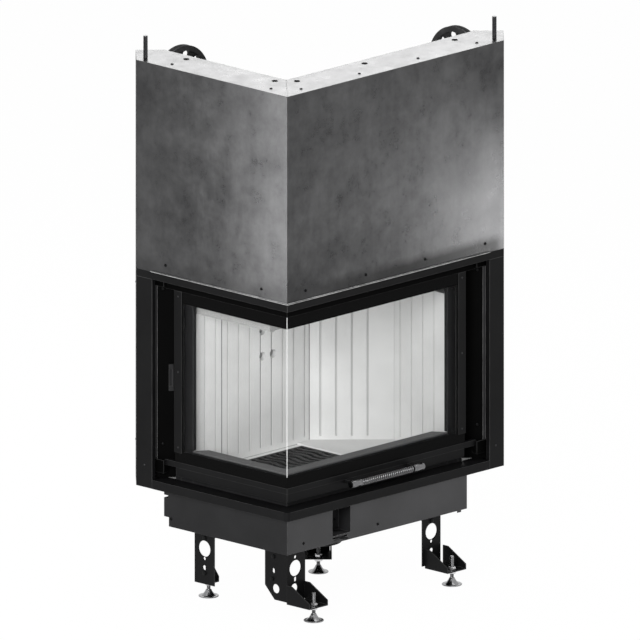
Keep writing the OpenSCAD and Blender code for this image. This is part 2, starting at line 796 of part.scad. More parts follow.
post_fold = 12;
module frame_post_side() color(grey) {
    block([frame_in, post_side_y, shell_z], [frame_back, post_side_end, hood_z]);
    block([frame_in, post_side_y, frame_rail_z + plate],
          [frame_in + post_fold, post_side_y + plate, hood_z]);
}
module frame_post_front() color(grey) {
    block([post_front_x, frame_in, shell_z], [post_front_end, frame_back, hood_z]);
    block([post_front_x, frame_in, frame_rail_z + plate],
          [post_front_x + plate, frame_in + post_fold, hood_z]);
}
module frame_bottom_rail() color(grey)
    rise(shell_z, frame_rail_z, elbow(frame_in, frame_back, post_front_x, post_side_y));

// The light ledge inside the opening, with 45-degree ends and a skirt down to the floor
ledge_in = frame_in + threshold_d;
module threshold() color(stone) {
    rise(frame_rail_z, threshold_z, [
        [frame_in, frame_in], [post_front_x, frame_in], [post_front_x - threshold_d + post_fold, ledge_in],
        [ledge_in, ledge_in], [ledge_in, post_side_y - threshold_d + post_fold], [frame_in, post_side_y]
    ]);
    rise(floor_z, frame_rail_z, elbow(ledge_in - plate, ledge_in,
        post_front_x - threshold_d + post_fold, post_side_y - threshold_d + post_fold));
}

lining_z = floor_z;
lining_top_z = lining_z + lining_h;
groove_up = 14;
// A lining panel drawn from x = 0, its face on y = 0 and its body behind, with upright grooves
module lining_panel(length, first, count) difference() {
    block([0, 0, lining_z], [length, lining_t, lining_top_z]);
    for (i = [0:count - 1])
        block([first + i * groove_pitch - groove_w * half, -over, lining_z + groove_up],
              [first + i * groove_pitch + groove_w * half, groove_d, lining_top_z + over]);
}
groove_first = 22;
back_start = frame_back + fit;
back_end = diag_sum - back_face;
right_end = diag_sum - right_face;
air_hole_d = 22;
air_hole_up = [255, 322];
air_hole_from_joint = [148.6, 186.8];
air_hole_deep = 12;
function groove_count(length, first) = floor((length - first - groove_w) / groove_pitch) + 1;
left_panel_w = back_joint - back_start;
left_grooves = groove_count(left_panel_w, groove_first);
module lining_back_left() color(stone) translate([back_start, back_face, 0])
    lining_panel(left_panel_w, left_panel_w - groove_first - groove_pitch * (left_grooves - 1), left_grooves);
back_panel_w = back_end - back_joint;
module lining_back() color(stone) difference() {
    translate([back_joint + fit, back_face, 0])
        lining_panel(back_panel_w - fit, groove_first, groove_count(back_panel_w, groove_first));
    for (dx = air_hole_from_joint, dz = air_hole_up)
        bar_y(back_joint + dx, lining_z + dz, back_face - over, back_face + air_hole_deep, air_hole_d);
}
diag_len = (right_face - back_end) * diag;
diag_margin = 28;
module lining_diagonal() color(stone) difference() {
    translate([back_end, back_face, 0]) rotate([0, 0, -45])
        lining_panel(diag_len, diag_margin, groove_count(diag_len - diag_margin + groove_w, diag_margin));
    block([0, back_face, lining_z - over], [back_end + fit, shell_back, lining_top_z + over]);
    block([right_face, 0, lining_z - over], [shell_right, right_end + fit, lining_top_z + over]);
}
right_start = frame_back + fit;
module lining_right() color(stone) translate([right_face, right_end, 0]) rotate([0, 0, -90])
    lining_panel(right_end - right_start, groove_first, groove_count(right_end - right_start, groove_first));

grate_x = 190;
grate_right = 456;
grate_y = 128;
grate_rear = 392;
grate_mid_x = (grate_x + grate_right) * half;
grate_mid_y = (grate_y + grate_rear) * half;
slab_t = 32;
slab_raise = 4;
joint = 1;
// Fire bricks of the floor, round the grate
module floor_slabs() color(stone) {
    low = floor_z - slab_t;
    block([ledge_in + fit, ledge_in + fit, low], [grate_x - fit, back_face - fit, floor_z]);
    rise(low, floor_z + slab_raise, [
        [grate_right + fit, ledge_in + fit], [right_face - fit, ledge_in + fit],
        [right_face - fit, right_end - fit], [back_end - fit, back_face - fit],
        [grate_right + fit, back_face - fit]
    ]);
    block([grate_x + joint - fit, ledge_in + fit, low],
          [grate_right - joint + fit, grate_y - fit, floor_z]);
    block([grate_x + joint - fit, grate_rear + fit, low],
          [grate_right - joint + fit, back_face - fit, floor_z]);
}

// Cast grate: a frame, cross ribs and wavy bars that run from front to back
grate_t = 18;
grate_rim = 10;
bar_w = 12;
bar_count = 11;
wave_amp = 5;
wave_turns = 3;
wave_steps = 24;
grate_lift = 60;
module wavy_bar(x, y_low, y_high) translate([x, 0, 0]) linear_extrude(grate_t - plate) polygon(concat(
    [for (i = [0:wave_steps]) [wave_amp * sin(360 * wave_turns * i / wave_steps) - bar_w * half,
                               y_low + (y_high - y_low) * i / wave_steps]],
    [for (i = [wave_steps:-1:0]) [wave_amp * sin(360 * wave_turns * i / wave_steps) + bar_w * half,
                                  y_low + (y_high - y_low) * i / wave_steps]]
));
module grate() color(dark) {
    low = floor_z - grate_t;
    x0 = grate_x + fit;
    x1 = grate_right - fit;
    y0 = grate_y + fit;
    y1 = grate_rear - fit;
    step = (x1 - x0 - grate_rim * 2) / bar_count;
    difference() {
        block([x0, y0, low], [x1, y1, floor_z]);
        block([x0 + grate_rim, y0 + grate_rim, low - over], [x1 - grate_rim, y1 - grate_rim, floor_z + over]);
    }
    translate([0, 0, low + plate]) for (i = [0:bar_count - 1])
        wavy_bar(x0 + grate_rim + step * (i + half), y0 + grate_rim * half, y1 - grate_rim * half);
    for (y = [y0 + (y1 - y0) / 3, y0 + (y1 - y0) * 2 / 3])
        block([x0 + grate_rim * half, y - plate * half, low],
              [x1 - grate_rim * half, y + plate * half, low + plate * 2]);
}

baffle_front = 130;
baffle_left = frame_back + hood_lip + fit;
module baffle() color(stone) rise(lining_top_z, lining_top_z + baffle_t, [
    [baffle_left, baffle_front], [shell_right_in - fit, baffle_front],
    [shell_right_in - fit, shell_in_sum - shell_right_in - fit],
    [shell_in_sum - shell_back_in - fit, shell_back_in - fit], [baffle_left, shell_back_in - fit]
]);

// Rope gaskets on the back of the door, which close on the inner frame: thick ones glued
// to the glass along its top and bottom, and thin ones along the stiles
gasket_d = frame_in - glass_back - fit;
gasket_c = glass_back + gasket_d * half;
stile_gasket_d = frame_in - stile_back - fit;
stile_gasket_c = stile_back + stile_gasket_d * half;
module gaskets() color("#2a2a2a") {
    for (z = [frame_rail_z - gasket_d, hood_z + gasket_d]) {
        bar_x(gasket_c, z, frame_in + gasket_d, post_front_x, gasket_d);
        bar_y(gasket_c, z, frame_in + gasket_d, post_side_y, gasket_d);
    }
    upright(glass_front_end - stile_w * half, stile_gasket_c, stile_z, door_top_rail_z, stile_gasket_d);
    upright(stile_gasket_c, glass_side_end - stile_w * half, stile_z, door_top_rail_z, stile_gasket_d);
}

/* Door */

band_proud = 1.5;
lower_short = 40;
module door_rail() color(dark) difference() {
    union() {
        rise(band_z, rail_top_z, elbow(door_in, rail_back, rail_front_end, rail_side_end));
        rise(door_z, band_z, elbow(door_in + band_proud, rail_back,
             rail_front_end - lower_short, rail_side_end - lower_short));
    }
    rise(glass_z - fit, rail_top_z + over,
         elbow(glass_in - slot_fit, glass_back + slot_fit,
               glass_front_end + slot_fit, glass_side_end + slot_fit));
    rise(door_z + rail_skin, band_z - rail_skin,
         elbow(door_in + band_proud + rail_skin, rail_back - rail_skin,
               rail_front_end - lower_short - rail_skin, rail_side_end - lower_short - rail_skin));
}
module door_top_rail() color(dark) difference() {
    rise(door_top_rail_z, door_top_z, elbow(door_in, rail_back, rail_front_end, rail_side_end));
    rise(door_top_rail_z - over, glass_top_z + fit,
         elbow(glass_in - slot_fit, glass_back + slot_fit,
               glass_front_end + slot_fit, glass_side_end + slot_fit));
}
// A stile clamps the glass end from outside and inside, drawn in the side's plane
module stile(y_end) difference() {
    block([door_in, y_end - stile_w, stile_z], [stile_back, y_end + rail_skin, door_top_rail_z]);
    block([glass_in - slot_fit, y_end - stile_w - over, stile_z - over],
          [glass_back + slot_fit, y_end + slot_fit, door_top_rail_z + over]);
}
module door_stiles() color(darker) {
    stile(glass_side_end);
    mirror([1, -1, 0]) stile(glass_front_end);
}
bead_w = 1;
module glass_front() color("#9fb0b0", 0.35) rise(glass_z, glass_top_z, [
    [glass_in + bead_w, glass_in], [glass_front_end, glass_in],
    [glass_front_end, glass_back], [glass_back + bead_w, glass_back]
]);
module glass_side() color("#9fb0b0", 0.35) rise(glass_z, glass_top_z, [
    [glass_in, glass_in + bead_w], [glass_back, glass_back + bead_w],
    [glass_back, glass_side_end], [glass_in, glass_side_end]
]);
module glass_corner_bead() color("white") rise(glass_z, glass_top_z, [
    [glass_in, glass_in + bead_w], [glass_in, glass_in], [glass_in + bead_w, glass_in],
    [glass_back + bead_w, glass_back], [glass_back, glass_back], [glass_back, glass_back + bead_w]
]);

band_proud_z = 1.5;
handle_z = (door_z + rail_top_z) * half - band_proud_z;
handle_end = handle_x + handle_len;
handle_r = handle_d * half;
core_d = 12;
bracket_plate = 5;
// Two stand-offs that carry the handle in front of the rail
module handle_brackets() color(dark)
    for (x = [handle_x + sleeve_len * half, handle_end - sleeve_len * half]) difference() {
        block([x - bracket_plate, -handle_out, handle_z - core_d * half],
              [x + bracket_plate, door_in + band_proud, handle_z + bracket_plate]);
        bar_x(-handle_out, handle_z, x - bracket_plate * 2, x + bracket_plate * 2, handle_d + fit * 2);
        block([x - bracket_plate * 2, door_in, band_z],
              [x + bracket_plate * 2, door_in + over * 2, rail_top_z]);
    }
module handle_bar() color(bright)
    bar_x(-handle_out, handle_z, handle_x, handle_end, core_d);
module handle_sleeves() color(dark) for (x = [handle_x, handle_end - sleeve_len]) difference() {
    bar_x(-handle_out, handle_z, x, x + sleeve_len, handle_d);
    bar_x(-handle_out, handle_z, x - over, x + sleeve_len + over, core_d + nut_fit * 2);
}

// The coil grip is one unbroken tube wound round the bar, its ends straight along the bar
wire_d = 3;
wire_sides = 6;
curl_rings = 8;
coil_r = handle_r - wire_d * half;
coil_x = handle_x + sleeve_len;
coil_len = handle_len - sleeve_len * 2;
coil_run = coil_len - wire_d * 2;
coil_pitch = coil_run / curls;
ring_total = curls * curl_rings;
function coil_point(i) = [
    coil_x + wire_d + coil_run * i / ring_total,
    -handle_out - coil_r * sin(360 * i / curl_rings),
    handle_z + coil_r * cos(360 * i / curl_rings)
];
coil_path = concat(
    [[coil_x, -handle_out, handle_z + coil_r]],
    [for (i = [0:ring_total]) coil_point(i)],
    [[coil_x + coil_len, -handle_out, handle_z + coil_r]]
);
function unit(v) = v / norm(v);
function tangent(p, i) = i == 0 || i == len(p) - 1 ? [1, 0, 0] : unit(p[i + 1] - p[i - 1]);
// Each ring is set square to the path, with one axis pointing away from the bar
function ring(p, i) = let(
    out = unit([0, p[i][1] + handle_out, p[i][2] - handle_z]),
    t = tangent(p, i),
    side = unit(cross(t, out))
) [for (k = [0:wire_sides - 1]) let(a = 360 * k / wire_sides)
    p[i] + wire_d * half * (cos(a) * out + sin(a) * side)];
coil_points = [for (i = [0:len(coil_path) - 1]) each ring(coil_path, i)];
coil_faces = concat(
    [for (k = [1:wire_sides - 2]) [0, k + 1, k]],
    [for (i = [0:len(coil_path) - 2], k = [0:wire_sides - 1]) let(
        a = i * wire_sides + k, b = i * wire_sides + (k + 1) % wire_sides) each [
        [a, b, b + wire_sides], [a, b + wire_sides, a + wire_sides]]],
    [let(e = (len(coil_path) - 1) * wire_sides) for (k = [1:wire_sides - 2]) [e, e + k, e + k + 1]]
);
// Least distance between the surfaces of neighbouring curls, measured on the path's points
coil_self_gap = min([for (i = [0:ring_total - curl_rings], k = [-1:1])
    let(j = i + curl_rings + k) if (j <= ring_total) norm(coil_point(i) - coil_point(j)) - wire_d]);
echo(coil_self_gap = coil_self_gap);
module handle_coil() color(bright) polyhedron(points = coil_points, faces = coil_faces);

// Arms that reach from the rails' ends through the slot, with a bar that ties them in the column
arm_x = wall_start_x - leg_t * 2;
arm_t = 4;
arm_y = -4;
arm_h = 34;
tie_from_rope = 15;
tie_x = rope_door_x - tie_from_rope;
anchor_d = 12;
anchor_h = 20;
module carriage_arm(z) {
    block([arm_x, -rail_end_gap - arm_t, z], [arm_x + arm_t, arm_y, z + arm_h]);
    block([arm_x, -rail_end_gap, z], [rail_back, -rail_end_gap + arm_t, z + arm_h]);
    block([arm_x, arm_y - arm_t, z], [tie_x + arm_t, arm_y, z + arm_h]);
}
module door_carriages() color(grey) both_ends() {
    low = door_z + over;
    high = door_top_z - arm_h - over;
    difference() {
        union() {
            carriage_arm(low);
            carriage_arm(high);
        }
        block([door_in, -rail_end_gap - arm_t * 2, door_z], [rail_back + over, -rail_end_gap, door_top_z]);
    }
    block([tie_x, arm_y - arm_t, low], [tie_x + arm_t, arm_y, high + arm_h]);
    block([tie_x, arm_y - arm_t, low], [rope_door_x, arm_y, low + anchor_h]);
    upright(rope_door_x, 0, low, low + anchor_h, anchor_d);
}

/* Lift gear, drawn at each end */

groove_r = rope_r - cable_d * half - fit;
hub_d = 40;
groove_half = 3;
web_half = 4;
module wheel() rotate([-90, 0, 0]) difference() {
    rotate_extrude() polygon([
        [axle_d * half + nut_fit, -wheel_t * half], [hub_d * half, -wheel_t * half],
        [hub_d * half, -web_half], [groove_r - web_half * 2, -web_half],
        [groove_r - web_half, -wheel_t * half], [wheel_d * half, -wheel_t * half],
        [wheel_d * half, -wheel_t * half + sheet], [groove_r, -groove_half],
        [groove_r, groove_half], [wheel_d * half, wheel_t * half - sheet],
        [wheel_d * half, wheel_t * half], [groove_r - web_half, wheel_t * half],
        [groove_r - web_half * 2, web_half], [hub_d * half, web_half],
        [hub_d * half, wheel_t * half], [axle_d * half + nut_fit, wheel_t * half]
    ]);
    for (i = [0:wheel_windows - 1]) rotate([0, 0, 360 * i / wheel_windows - window_turn])
        translate([window_mid, 0, -wheel_t]) cylinder(h = wheel_t * 2, d = window_d);
}
window_mid = 71;
window_d = 24;
window_turn = 6;
module wheel_side() color(dark) side_end() translate([wheel_x, 0, wheel_z]) wheel();
module wheel_front() color(dark) front_end() translate([wheel_x, 0, wheel_z]) wheel();

// The plate behind each wheel, and the axle that carries it, with its head in front
mount_low = 190;
axle_head_d = 24;
axle_head_h = 5;
collar_gap = 0.3;
module wheel_mounts() color(grey) both_ends() {
    block([wheel_x - axle_head_d, guide_back + sheet, wheel_z - mount_low],
          [rope_weight_x + guide_half, guide_back + sheet + mount_t, wheel_z + axle_head_d]);
    bar_y(wheel_x, wheel_z, wheel_t * half + collar_gap, guide_back + sheet, axle_head_d);
    bar_y(wheel_x, wheel_z, -wheel_t * half - collar_gap, guide_back + sheet, axle_d);
    bar_y(wheel_x, wheel_z, -wheel_t * half - collar_gap - axle_head_h, -wheel_t * half - collar_gap,
          axle_head_d);
}

module weight() block([rope_weight_x - weight_w * half, -weight_t * half, weight_z],
                      [rope_weight_x + weight_w * half, weight_t * half, weight_top_z]);
module weight_side() color(grey) side_end() weight();
module weight_front() color(grey) front_end() weight();

arm_tall = 50;
module weight_guide(reach) {
    low = guide_bottom_z;
    left = rope_weight_x - guide_half;
    right = rope_weight_x + guide_half;
    difference() {
        block([left - sheet, -guide_back, low], [right + sheet, guide_back + sheet, guide_top_z]);
        block([left, -guide_back - over, low - over], [right, guide_back, guide_top_z + over]);
    }
    for (z = [shell_z + arm_tall * 3, roof_z - arm_tall * 2])
        block([left - sheet, -reach, z], [left, -guide_back, z + arm_tall]);
}
module weight_guides() color(darker) {
    side_end() weight_guide(guide_reach_side);
    front_end() weight_guide(guide_reach_front);
}

anchor_top_z = door_z + over + anchor_h;
module cables_door() color(bright) both_ends()
    upright(rope_door_x, 0, anchor_top_z, wheel_z, cable_d);
module cables_weight() color(bright) both_ends() {
    upright(rope_weight_x, 0, weight_top_z, wheel_z, cable_d);
    translate([wheel_x, 0, wheel_z]) rotate([90, 0, 0]) rotate_extrude(angle = 180)
        translate([rope_r, 0]) circle(d = cable_d);
}

placed() air_box();
placed() base_plate();
placed() air_lever();
placed() air_collar();
placed() leg_corner();
placed() leg_front_right();
placed() leg_rear_left();
placed() leg_rear_right();
placed() foot_brackets();
placed() levelling_feet();
placed() leg_bolts();
placed() portal_post_side();
placed() portal_post_front();
placed() portal_sill();
placed() portal_strip();
placed() end_walls();
placed() guide_strips();
placed() end_columns();
placed() door_catch();
placed() casing_side();
placed() casing_front();
placed() hanger_rods();
placed() hex_nuts();
placed() dark_screws();
placed() stile_screws();
placed() firebox_shell();
placed() firebox_hood();
placed() firebox_roof();
placed() flue_collar();
placed() frame_post_side();
placed() frame_post_front();
placed() frame_bottom_rail();
placed() threshold();
placed() lining_back_left();
placed() lining_back();
placed() lining_diagonal();
placed() lining_right();
placed() floor_slabs();
placed() baffle();
placed() grate();
placed() door_rail();
placed() door_top_rail();
placed() door_stiles();
placed() glass_front();
placed() glass_side();
placed() glass_corner_bead();
placed() gaskets();
placed() handle_brackets();
placed() handle_bar();
placed() handle_sleeves();
placed() handle_coil();
placed() door_carriages();
placed() wheel_side();
placed() wheel_front();
placed() wheel_mounts();
placed() weight_side();
placed() weight_front();
placed() weight_guides();
placed() cables_door();
placed() cables_weight();
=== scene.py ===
"""Dresses the corner fireplace insert. Every sheet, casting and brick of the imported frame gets
broken edges and a worked finish. What is threaded, wound, turned or printed gets a finer mesh."""

import json
import math

import bmesh
import bpy
from bpy.props import FloatProperty, FloatVectorProperty, IntProperty, PointerProperty
from mathutils import Matrix, Vector

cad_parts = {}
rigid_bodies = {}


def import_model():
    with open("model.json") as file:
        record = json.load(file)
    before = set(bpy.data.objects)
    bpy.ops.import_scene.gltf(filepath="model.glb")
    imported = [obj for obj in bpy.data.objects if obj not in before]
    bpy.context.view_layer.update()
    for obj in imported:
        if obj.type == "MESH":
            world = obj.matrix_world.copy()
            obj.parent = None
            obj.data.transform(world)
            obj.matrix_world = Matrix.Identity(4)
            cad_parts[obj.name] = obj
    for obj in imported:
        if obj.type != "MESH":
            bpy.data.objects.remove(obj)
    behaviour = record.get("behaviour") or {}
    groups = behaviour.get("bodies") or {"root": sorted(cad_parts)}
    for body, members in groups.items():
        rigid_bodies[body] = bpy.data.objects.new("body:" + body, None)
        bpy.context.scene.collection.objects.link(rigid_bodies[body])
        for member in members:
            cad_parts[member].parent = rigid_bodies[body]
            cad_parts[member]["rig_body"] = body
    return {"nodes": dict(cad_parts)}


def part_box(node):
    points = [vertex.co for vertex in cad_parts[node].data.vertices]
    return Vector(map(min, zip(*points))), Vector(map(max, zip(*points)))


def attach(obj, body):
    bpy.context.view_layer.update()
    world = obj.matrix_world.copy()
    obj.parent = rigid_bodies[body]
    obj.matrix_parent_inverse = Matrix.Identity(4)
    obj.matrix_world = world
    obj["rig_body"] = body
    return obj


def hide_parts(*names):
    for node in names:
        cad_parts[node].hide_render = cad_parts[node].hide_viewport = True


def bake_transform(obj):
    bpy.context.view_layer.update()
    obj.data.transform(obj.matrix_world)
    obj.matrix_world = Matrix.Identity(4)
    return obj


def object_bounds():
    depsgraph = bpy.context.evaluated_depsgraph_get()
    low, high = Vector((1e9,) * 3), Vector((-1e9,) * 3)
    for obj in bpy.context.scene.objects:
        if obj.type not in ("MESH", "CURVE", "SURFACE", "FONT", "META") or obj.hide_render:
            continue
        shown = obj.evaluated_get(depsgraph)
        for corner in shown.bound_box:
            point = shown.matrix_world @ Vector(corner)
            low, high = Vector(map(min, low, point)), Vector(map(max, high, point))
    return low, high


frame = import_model()
cad_low, cad_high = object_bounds()

bl_info = {
    "name": "Corner Fireplace Insert",
    "version": (1, 0, 0),
    "blender": (4, 5, 0),
    "location": "View3D > Sidebar > Fireplace",
    "description": "Finishes and fine meshes of a corner fireplace insert with a lift-up door",
    "category": "Object",
}

MM = 0.001
STOVE = "stove"
DOOR = "door"
# Widest small screw head, and narrowest flange insert
SMALL_HEAD = 6.0 * MM
INSERT_WIDTH = 10.0 * MM
# Face attribute that marks the painted shade on the lining's grooves and holes
GROOVE_SHADE = "groove"
# Face attribute of the narrow faces of a broken edge: how far their colour is lightened there, a
# painted highlight with some wear
EDGE_SHEEN_AND_WEAR = "rubbed"
# Corners nearer than this are one corner
MERGE = 1e-6
# Faces within this angle are one face, and an edge at least this steep is broken
FLAT = math.radians(0.5)
STEEP = math.radians(40.0)
UPRIGHT = Matrix.Identity(4)


# Shader wiring


class Wire:
    """One output socket of a node tree. Arithmetic on it adds Math nodes."""

    def __init__(self, graph, socket):
        self.graph = graph
        self.socket = socket

    def math(self, operation, *values):
        return self.graph.node("ShaderNodeMath", {"operation": operation}, *values)

    def __add__(self, other):
        return self.math("ADD", self, other)

    def __sub__(self, other):
        return self.math("SUBTRACT", self, other)

    def __rsub__(self, other):
        return self.math("SUBTRACT", other, self)

    def __mul__(self, other):
        return self.math("MULTIPLY", self, other)

    __radd__ = __add__
    __rmul__ = __mul__


class Graph:
    """A node tree while its nodes are laid out."""

    def __init__(self, tree):
        self.tree = tree
        tree.nodes.clear()

    def feed(self, socket, value):
        if isinstance(value, Wire):
            self.tree.links.new(value.socket, socket)
        else:
            socket.default_value = value

    def node(self, kind, settings=None, *inputs, out=0, **named):
        """Adds a node, feeds its inputs by order or by name, and gives one of its outputs.

        An input of None keeps its default, and a node that ends a tree has no output.
        """
        made = self.tree.nodes.new(kind)
        for key, value in (settings or {}).items():
            setattr(made, key, value)
        for socket, value in zip(made.inputs, inputs):
            if value is not None:
                self.feed(socket, value)
        for key, value in named.items():
            self.feed(made.inputs[key.replace("_", " ")], value)
        return Wire(self, made.outputs[out]) if made.outputs else None

    def seen(self):
        """1 for the rays that show a surface, 0 for those by which it lights others."""
        camera, glossy, through = (self.node("ShaderNodeLightPath", out=ray) for ray in
                                   ("Is Camera Ray", "Is Glossy Ray", "Is Transmission Ray"))
        return camera.math("MAXIMUM", camera.math("MAXIMUM", camera, glossy), through)


class Finish(Graph):
    """A material while its nodes are laid out."""

    def __init__(self, name):
        self.material = bpy.data.materials.new(name)
        self.material.use_nodes = True
        super().__init__(self.material.node_tree)
        self.place = self.node("ShaderNodeTexCoord", out="Object")

    def noise(self, scale, detail=2.0, roughness=0.5, stretch=(1.0, 1.0, 1.0)):
        """Noise between 0 and 1; scale counts blotches per metre, stretch squeezes an axis."""
        where = self.node("ShaderNodeMapping", {}, self.place, Scale=stretch)
        return self.node("ShaderNodeTexNoise", {}, Vector=where, Scale=scale,
                         Detail=detail, Roughness=roughness)

    def spread(self, value, low, high, to_low=0.0, to_high=1.0):
        """Maps a range of values onto another, without passing its ends."""
        return self.node("ShaderNodeMapRange", {"clamp": True}, value, low, high, to_low, to_high)

    def mix(self, share, first, second):
        """A colour between two colours, which are the mix node's seventh and eighth inputs."""
        first, second = (c if isinstance(c, Wire) else (*c[:3], 1.0) for c in (first, second))
        return self.node("ShaderNodeMix", {"data_type": "RGBA"}, share, *[None] * 5, first, second,
                         out=2)

    def bump(self, height, depth, strength):
        """A normal from a height; depth is how far a height of 1 stands out, in metres."""
        return self.node("ShaderNodeBump", {}, Strength=strength, Distance=depth, Height=height)

    def attribute(self, name):
        return self.node("ShaderNodeAttribute", {"attribute_name": name}, out="Fac")

    def worn_edge(self):
        """Painted highlight on a broken edge, with some wear: how far its colour is lightened,
        unevenly along it.
        """
        uneven = self.spread(self.noise(35.0, 3.0, 0.6), 0.25, 0.6, 0.35, 1.0)
        return self.attribute(EDGE_SHEEN_AND_WEAR) * uneven

    def axis(self, name):
        return self.node("ShaderNodeSeparateXYZ", {}, self.place, out=name)

    def done(self, shader):
        self.node("ShaderNodeOutputMaterial", {}, Surface=shader)
        return self.material

    def surface(self, **named):
        """Ends the material in one Principled shader."""
        return self.done(self.node("ShaderNodeBsdfPrincipled", {}, **named))


def grey(level):
    return (level, level, level, 1.0)


# Finishes


def rolled_steel(colours):
    """Bare hot-rolled sheet: cloudy mill scale, faint roller lines and small dark pits, with
    painted shade along its foot and painted highlights on its broken edges.
    """
    f = Finish("bare_rolled_steel")
    clouds = f.noise(5.5, 6.0, 0.62)
    patches = f.noise(17.0, 5.0, 0.6)
    mottle = f.noise(46.0, 6.0, 0.66)
    rolled = f.noise(60.0, 3.0, 0.6, (1.0, 1.0, 0.05))
    grain = f.noise(900.0, 2.0, 0.5)
    pits = f.spread(f.noise(160.0, 2.0, 0.4), 0.70, 0.78)
    tone = f.spread(clouds * 0.46 + patches * 0.30 + mottle * 0.16 + rolled * 0.08, 0.38, 0.62)
    base = f.mix(tone, colours.steel_dark, colours.steel_light)
    base = f.mix(pits * 0.12, base, grey(0.03))
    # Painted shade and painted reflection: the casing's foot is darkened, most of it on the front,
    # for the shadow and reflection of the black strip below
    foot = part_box("casing_front")[0].z
    uneven = (patches - 0.5) * 0.012
    painted_foot_shade = f.spread(f.axis("Z") + uneven, foot + 22.0 * MM, foot + 46.0 * MM, 1.0, 0.0)
    x = f.axis("X")
    along = f.spread(x, -0.42, 0.0, 0.25, 1.0) * f.spread(x, 0.33, 0.37, 1.0, 0.0)
    base = f.mix(painted_foot_shade * along * 0.85, base, grey(0.010))
    # Painted highlight with some wear: the broken edges are lightened
    base = f.mix(f.worn_edge(), base, grey(0.85))
    rough = f.spread(patches * 0.45 + mottle * 0.35 + grain * 0.2, 0.35, 0.65, 0.25, 0.37)
    surface = f.bump(mottle * 0.6 + patches * 0.5 + grain * 0.15 - pits * 0.4, 0.0006, 0.35)
    return f.surface(Base_Color=base, Metallic=0.9, Roughness=rough, Normal=surface)


def satin_paint(name, colour, roughness, gloss):
    """Heatproof satin paint: fine orange peel, slight cloudiness and dust in the low spots."""
    f = Finish(name)
    peel = f.noise(420.0, 2.0, 0.55)
    speck = f.noise(2200.0, 1.0, 0.5)
    cloud = f.noise(9.0, 4.0, 0.6)
    lighter = tuple(min(1.0, c * 1.6 + 0.0005) for c in colour)
    base = f.mix(f.spread(cloud * 0.7 + speck * 0.3, 0.35, 0.7), colour, lighter)
    # Painted highlight with some wear: the broken edges are lightened
    base = f.mix(f.worn_edge(), base, grey(0.55))
    rough = f.spread(cloud * 0.6 + peel * 0.4, 0.3, 0.7, roughness - 0.05, roughness + 0.07)
    surface = f.bump(peel * 0.7 + speck * 0.3, 0.00012, 0.5)
    return f.surface(Base_Color=base, Metallic=0.0, Roughness=rough, Normal=surface,
                     Specular_IOR_Level=gloss)


def zinc_plate(name, colour, roughness):
    """Bright zinc: small spangle and hazy handling marks."""
    f = Finish(name)
    spangle = f.noise(240.0, 3.0, 0.6)
    haze = f.noise(40.0, 3.0, 0.6)
    dark = tuple(c * 0.72 for c in colour)
    base = f.mix(f.spread(spangle, 0.35, 0.65), dark, colour)
    rough = f.spread(haze, 0.3, 0.7, roughness - 0.08, roughness + 0.12)
    return f.surface(Base_Color=base, Metallic=1.0, Roughness=rough,
                     Normal=f.bump(spangle, 0.00008, 0.4))


def sand_casting(name, colour, roughness):
    """Cast iron: sand grain, with dull grey where it has been rubbed."""
    f = Finish(name)
    sand = f.noise(620.0, 4.0, 0.7)
    rubbed = f.spread(f.noise(28.0, 4.0, 0.6), 0.48, 0.7)
    light = tuple(c * 2.2 + 0.01 for c in colour)
    base = f.mix(rubbed, colour, light)
    rough = f.spread(sand, 0.3, 0.7, roughness - 0.1, roughness + 0.12)
    return f.surface(Base_Color=base, Metallic=0.35, Roughness=rough,
                     Normal=f.bump(sand, 0.0005, 0.6))


def fire_board(name, dark, light):
    """Pressed light refractory board: pale flecks, fine pores, a soft cloudiness and painted shade
    in its grooves and holes.
    """
    f = Finish(name)
    flecks = f.spread(f.noise(520.0, 3.0, 0.65), 0.56, 0.68)
    pores = f.spread(f.noise(900.0, 2.0, 0.6), 0.66, 0.76)
    cloud = f.noise(7.0, 4.0, 0.55)
    base = f.mix(f.spread(cloud, 0.3, 0.7), dark, light)
    base = f.mix(flecks * 0.35, base, grey(0.93))
    base = f.mix(pores * 0.4, base, grey(0.36))
    # Painted shade in the grooves and holes
    base = f.mix(f.attribute(GROOVE_SHADE), base, grey(0.12))
    surface = f.bump(flecks * 0.4 - pores * 0.8 + cloud * 0.2, 0.0005, 0.5)
    return f.surface(Base_Color=base, Roughness=0.88, Normal=surface)


def door_glass():
    """Clear glass ceramic: thin body tone, gloss that grows at a slant, and faint wipe marks."""
    f = Finish("door_glass_ceramic")
    wipe = f.noise(14.0, 4.0, 0.6, (0.4, 0.4, 1.6))
    veil = f.spread(wipe, 0.35, 0.75, 0.002, 0.010)
    rough = f.spread(wipe, 0.3, 0.8, 0.02, 0.06)
    clear = f.node("ShaderNodeBsdfTransparent", {}, Color=(0.99, 0.992, 0.991, 1.0))
    gloss = f.node("ShaderNodeBsdfPrincipled", {}, Base_Color=grey(0.05), Roughness=rough,
                   Metallic=0.0, IOR=1.45)
    edge = f.node("ShaderNodeFresnel", {}, IOR=1.25)
    share = f.node("ShaderNodeClamp", {}, edge * 0.3 + veil)
    return f.done(f.node("ShaderNodeMixShader", {}, share, clear, gloss))


def printed_enamel():
    """Black ceramic print behind the glass: deep, glossy, with a fine screen grain."""
    f = Finish("printed_black_enamel")
    screen = f.noise(1500.0, 1.0, 0.4)
    base = f.mix(f.spread(screen, 0.3, 0.7), grey(0.0012), grey(0.0028))
    rough = f.spread(screen, 0.3, 0.7, 0.16, 0.24)
    return f.surface(Base_Color=base, Roughness=rough, IOR=1.5, Specular_IOR_Level=0.03)


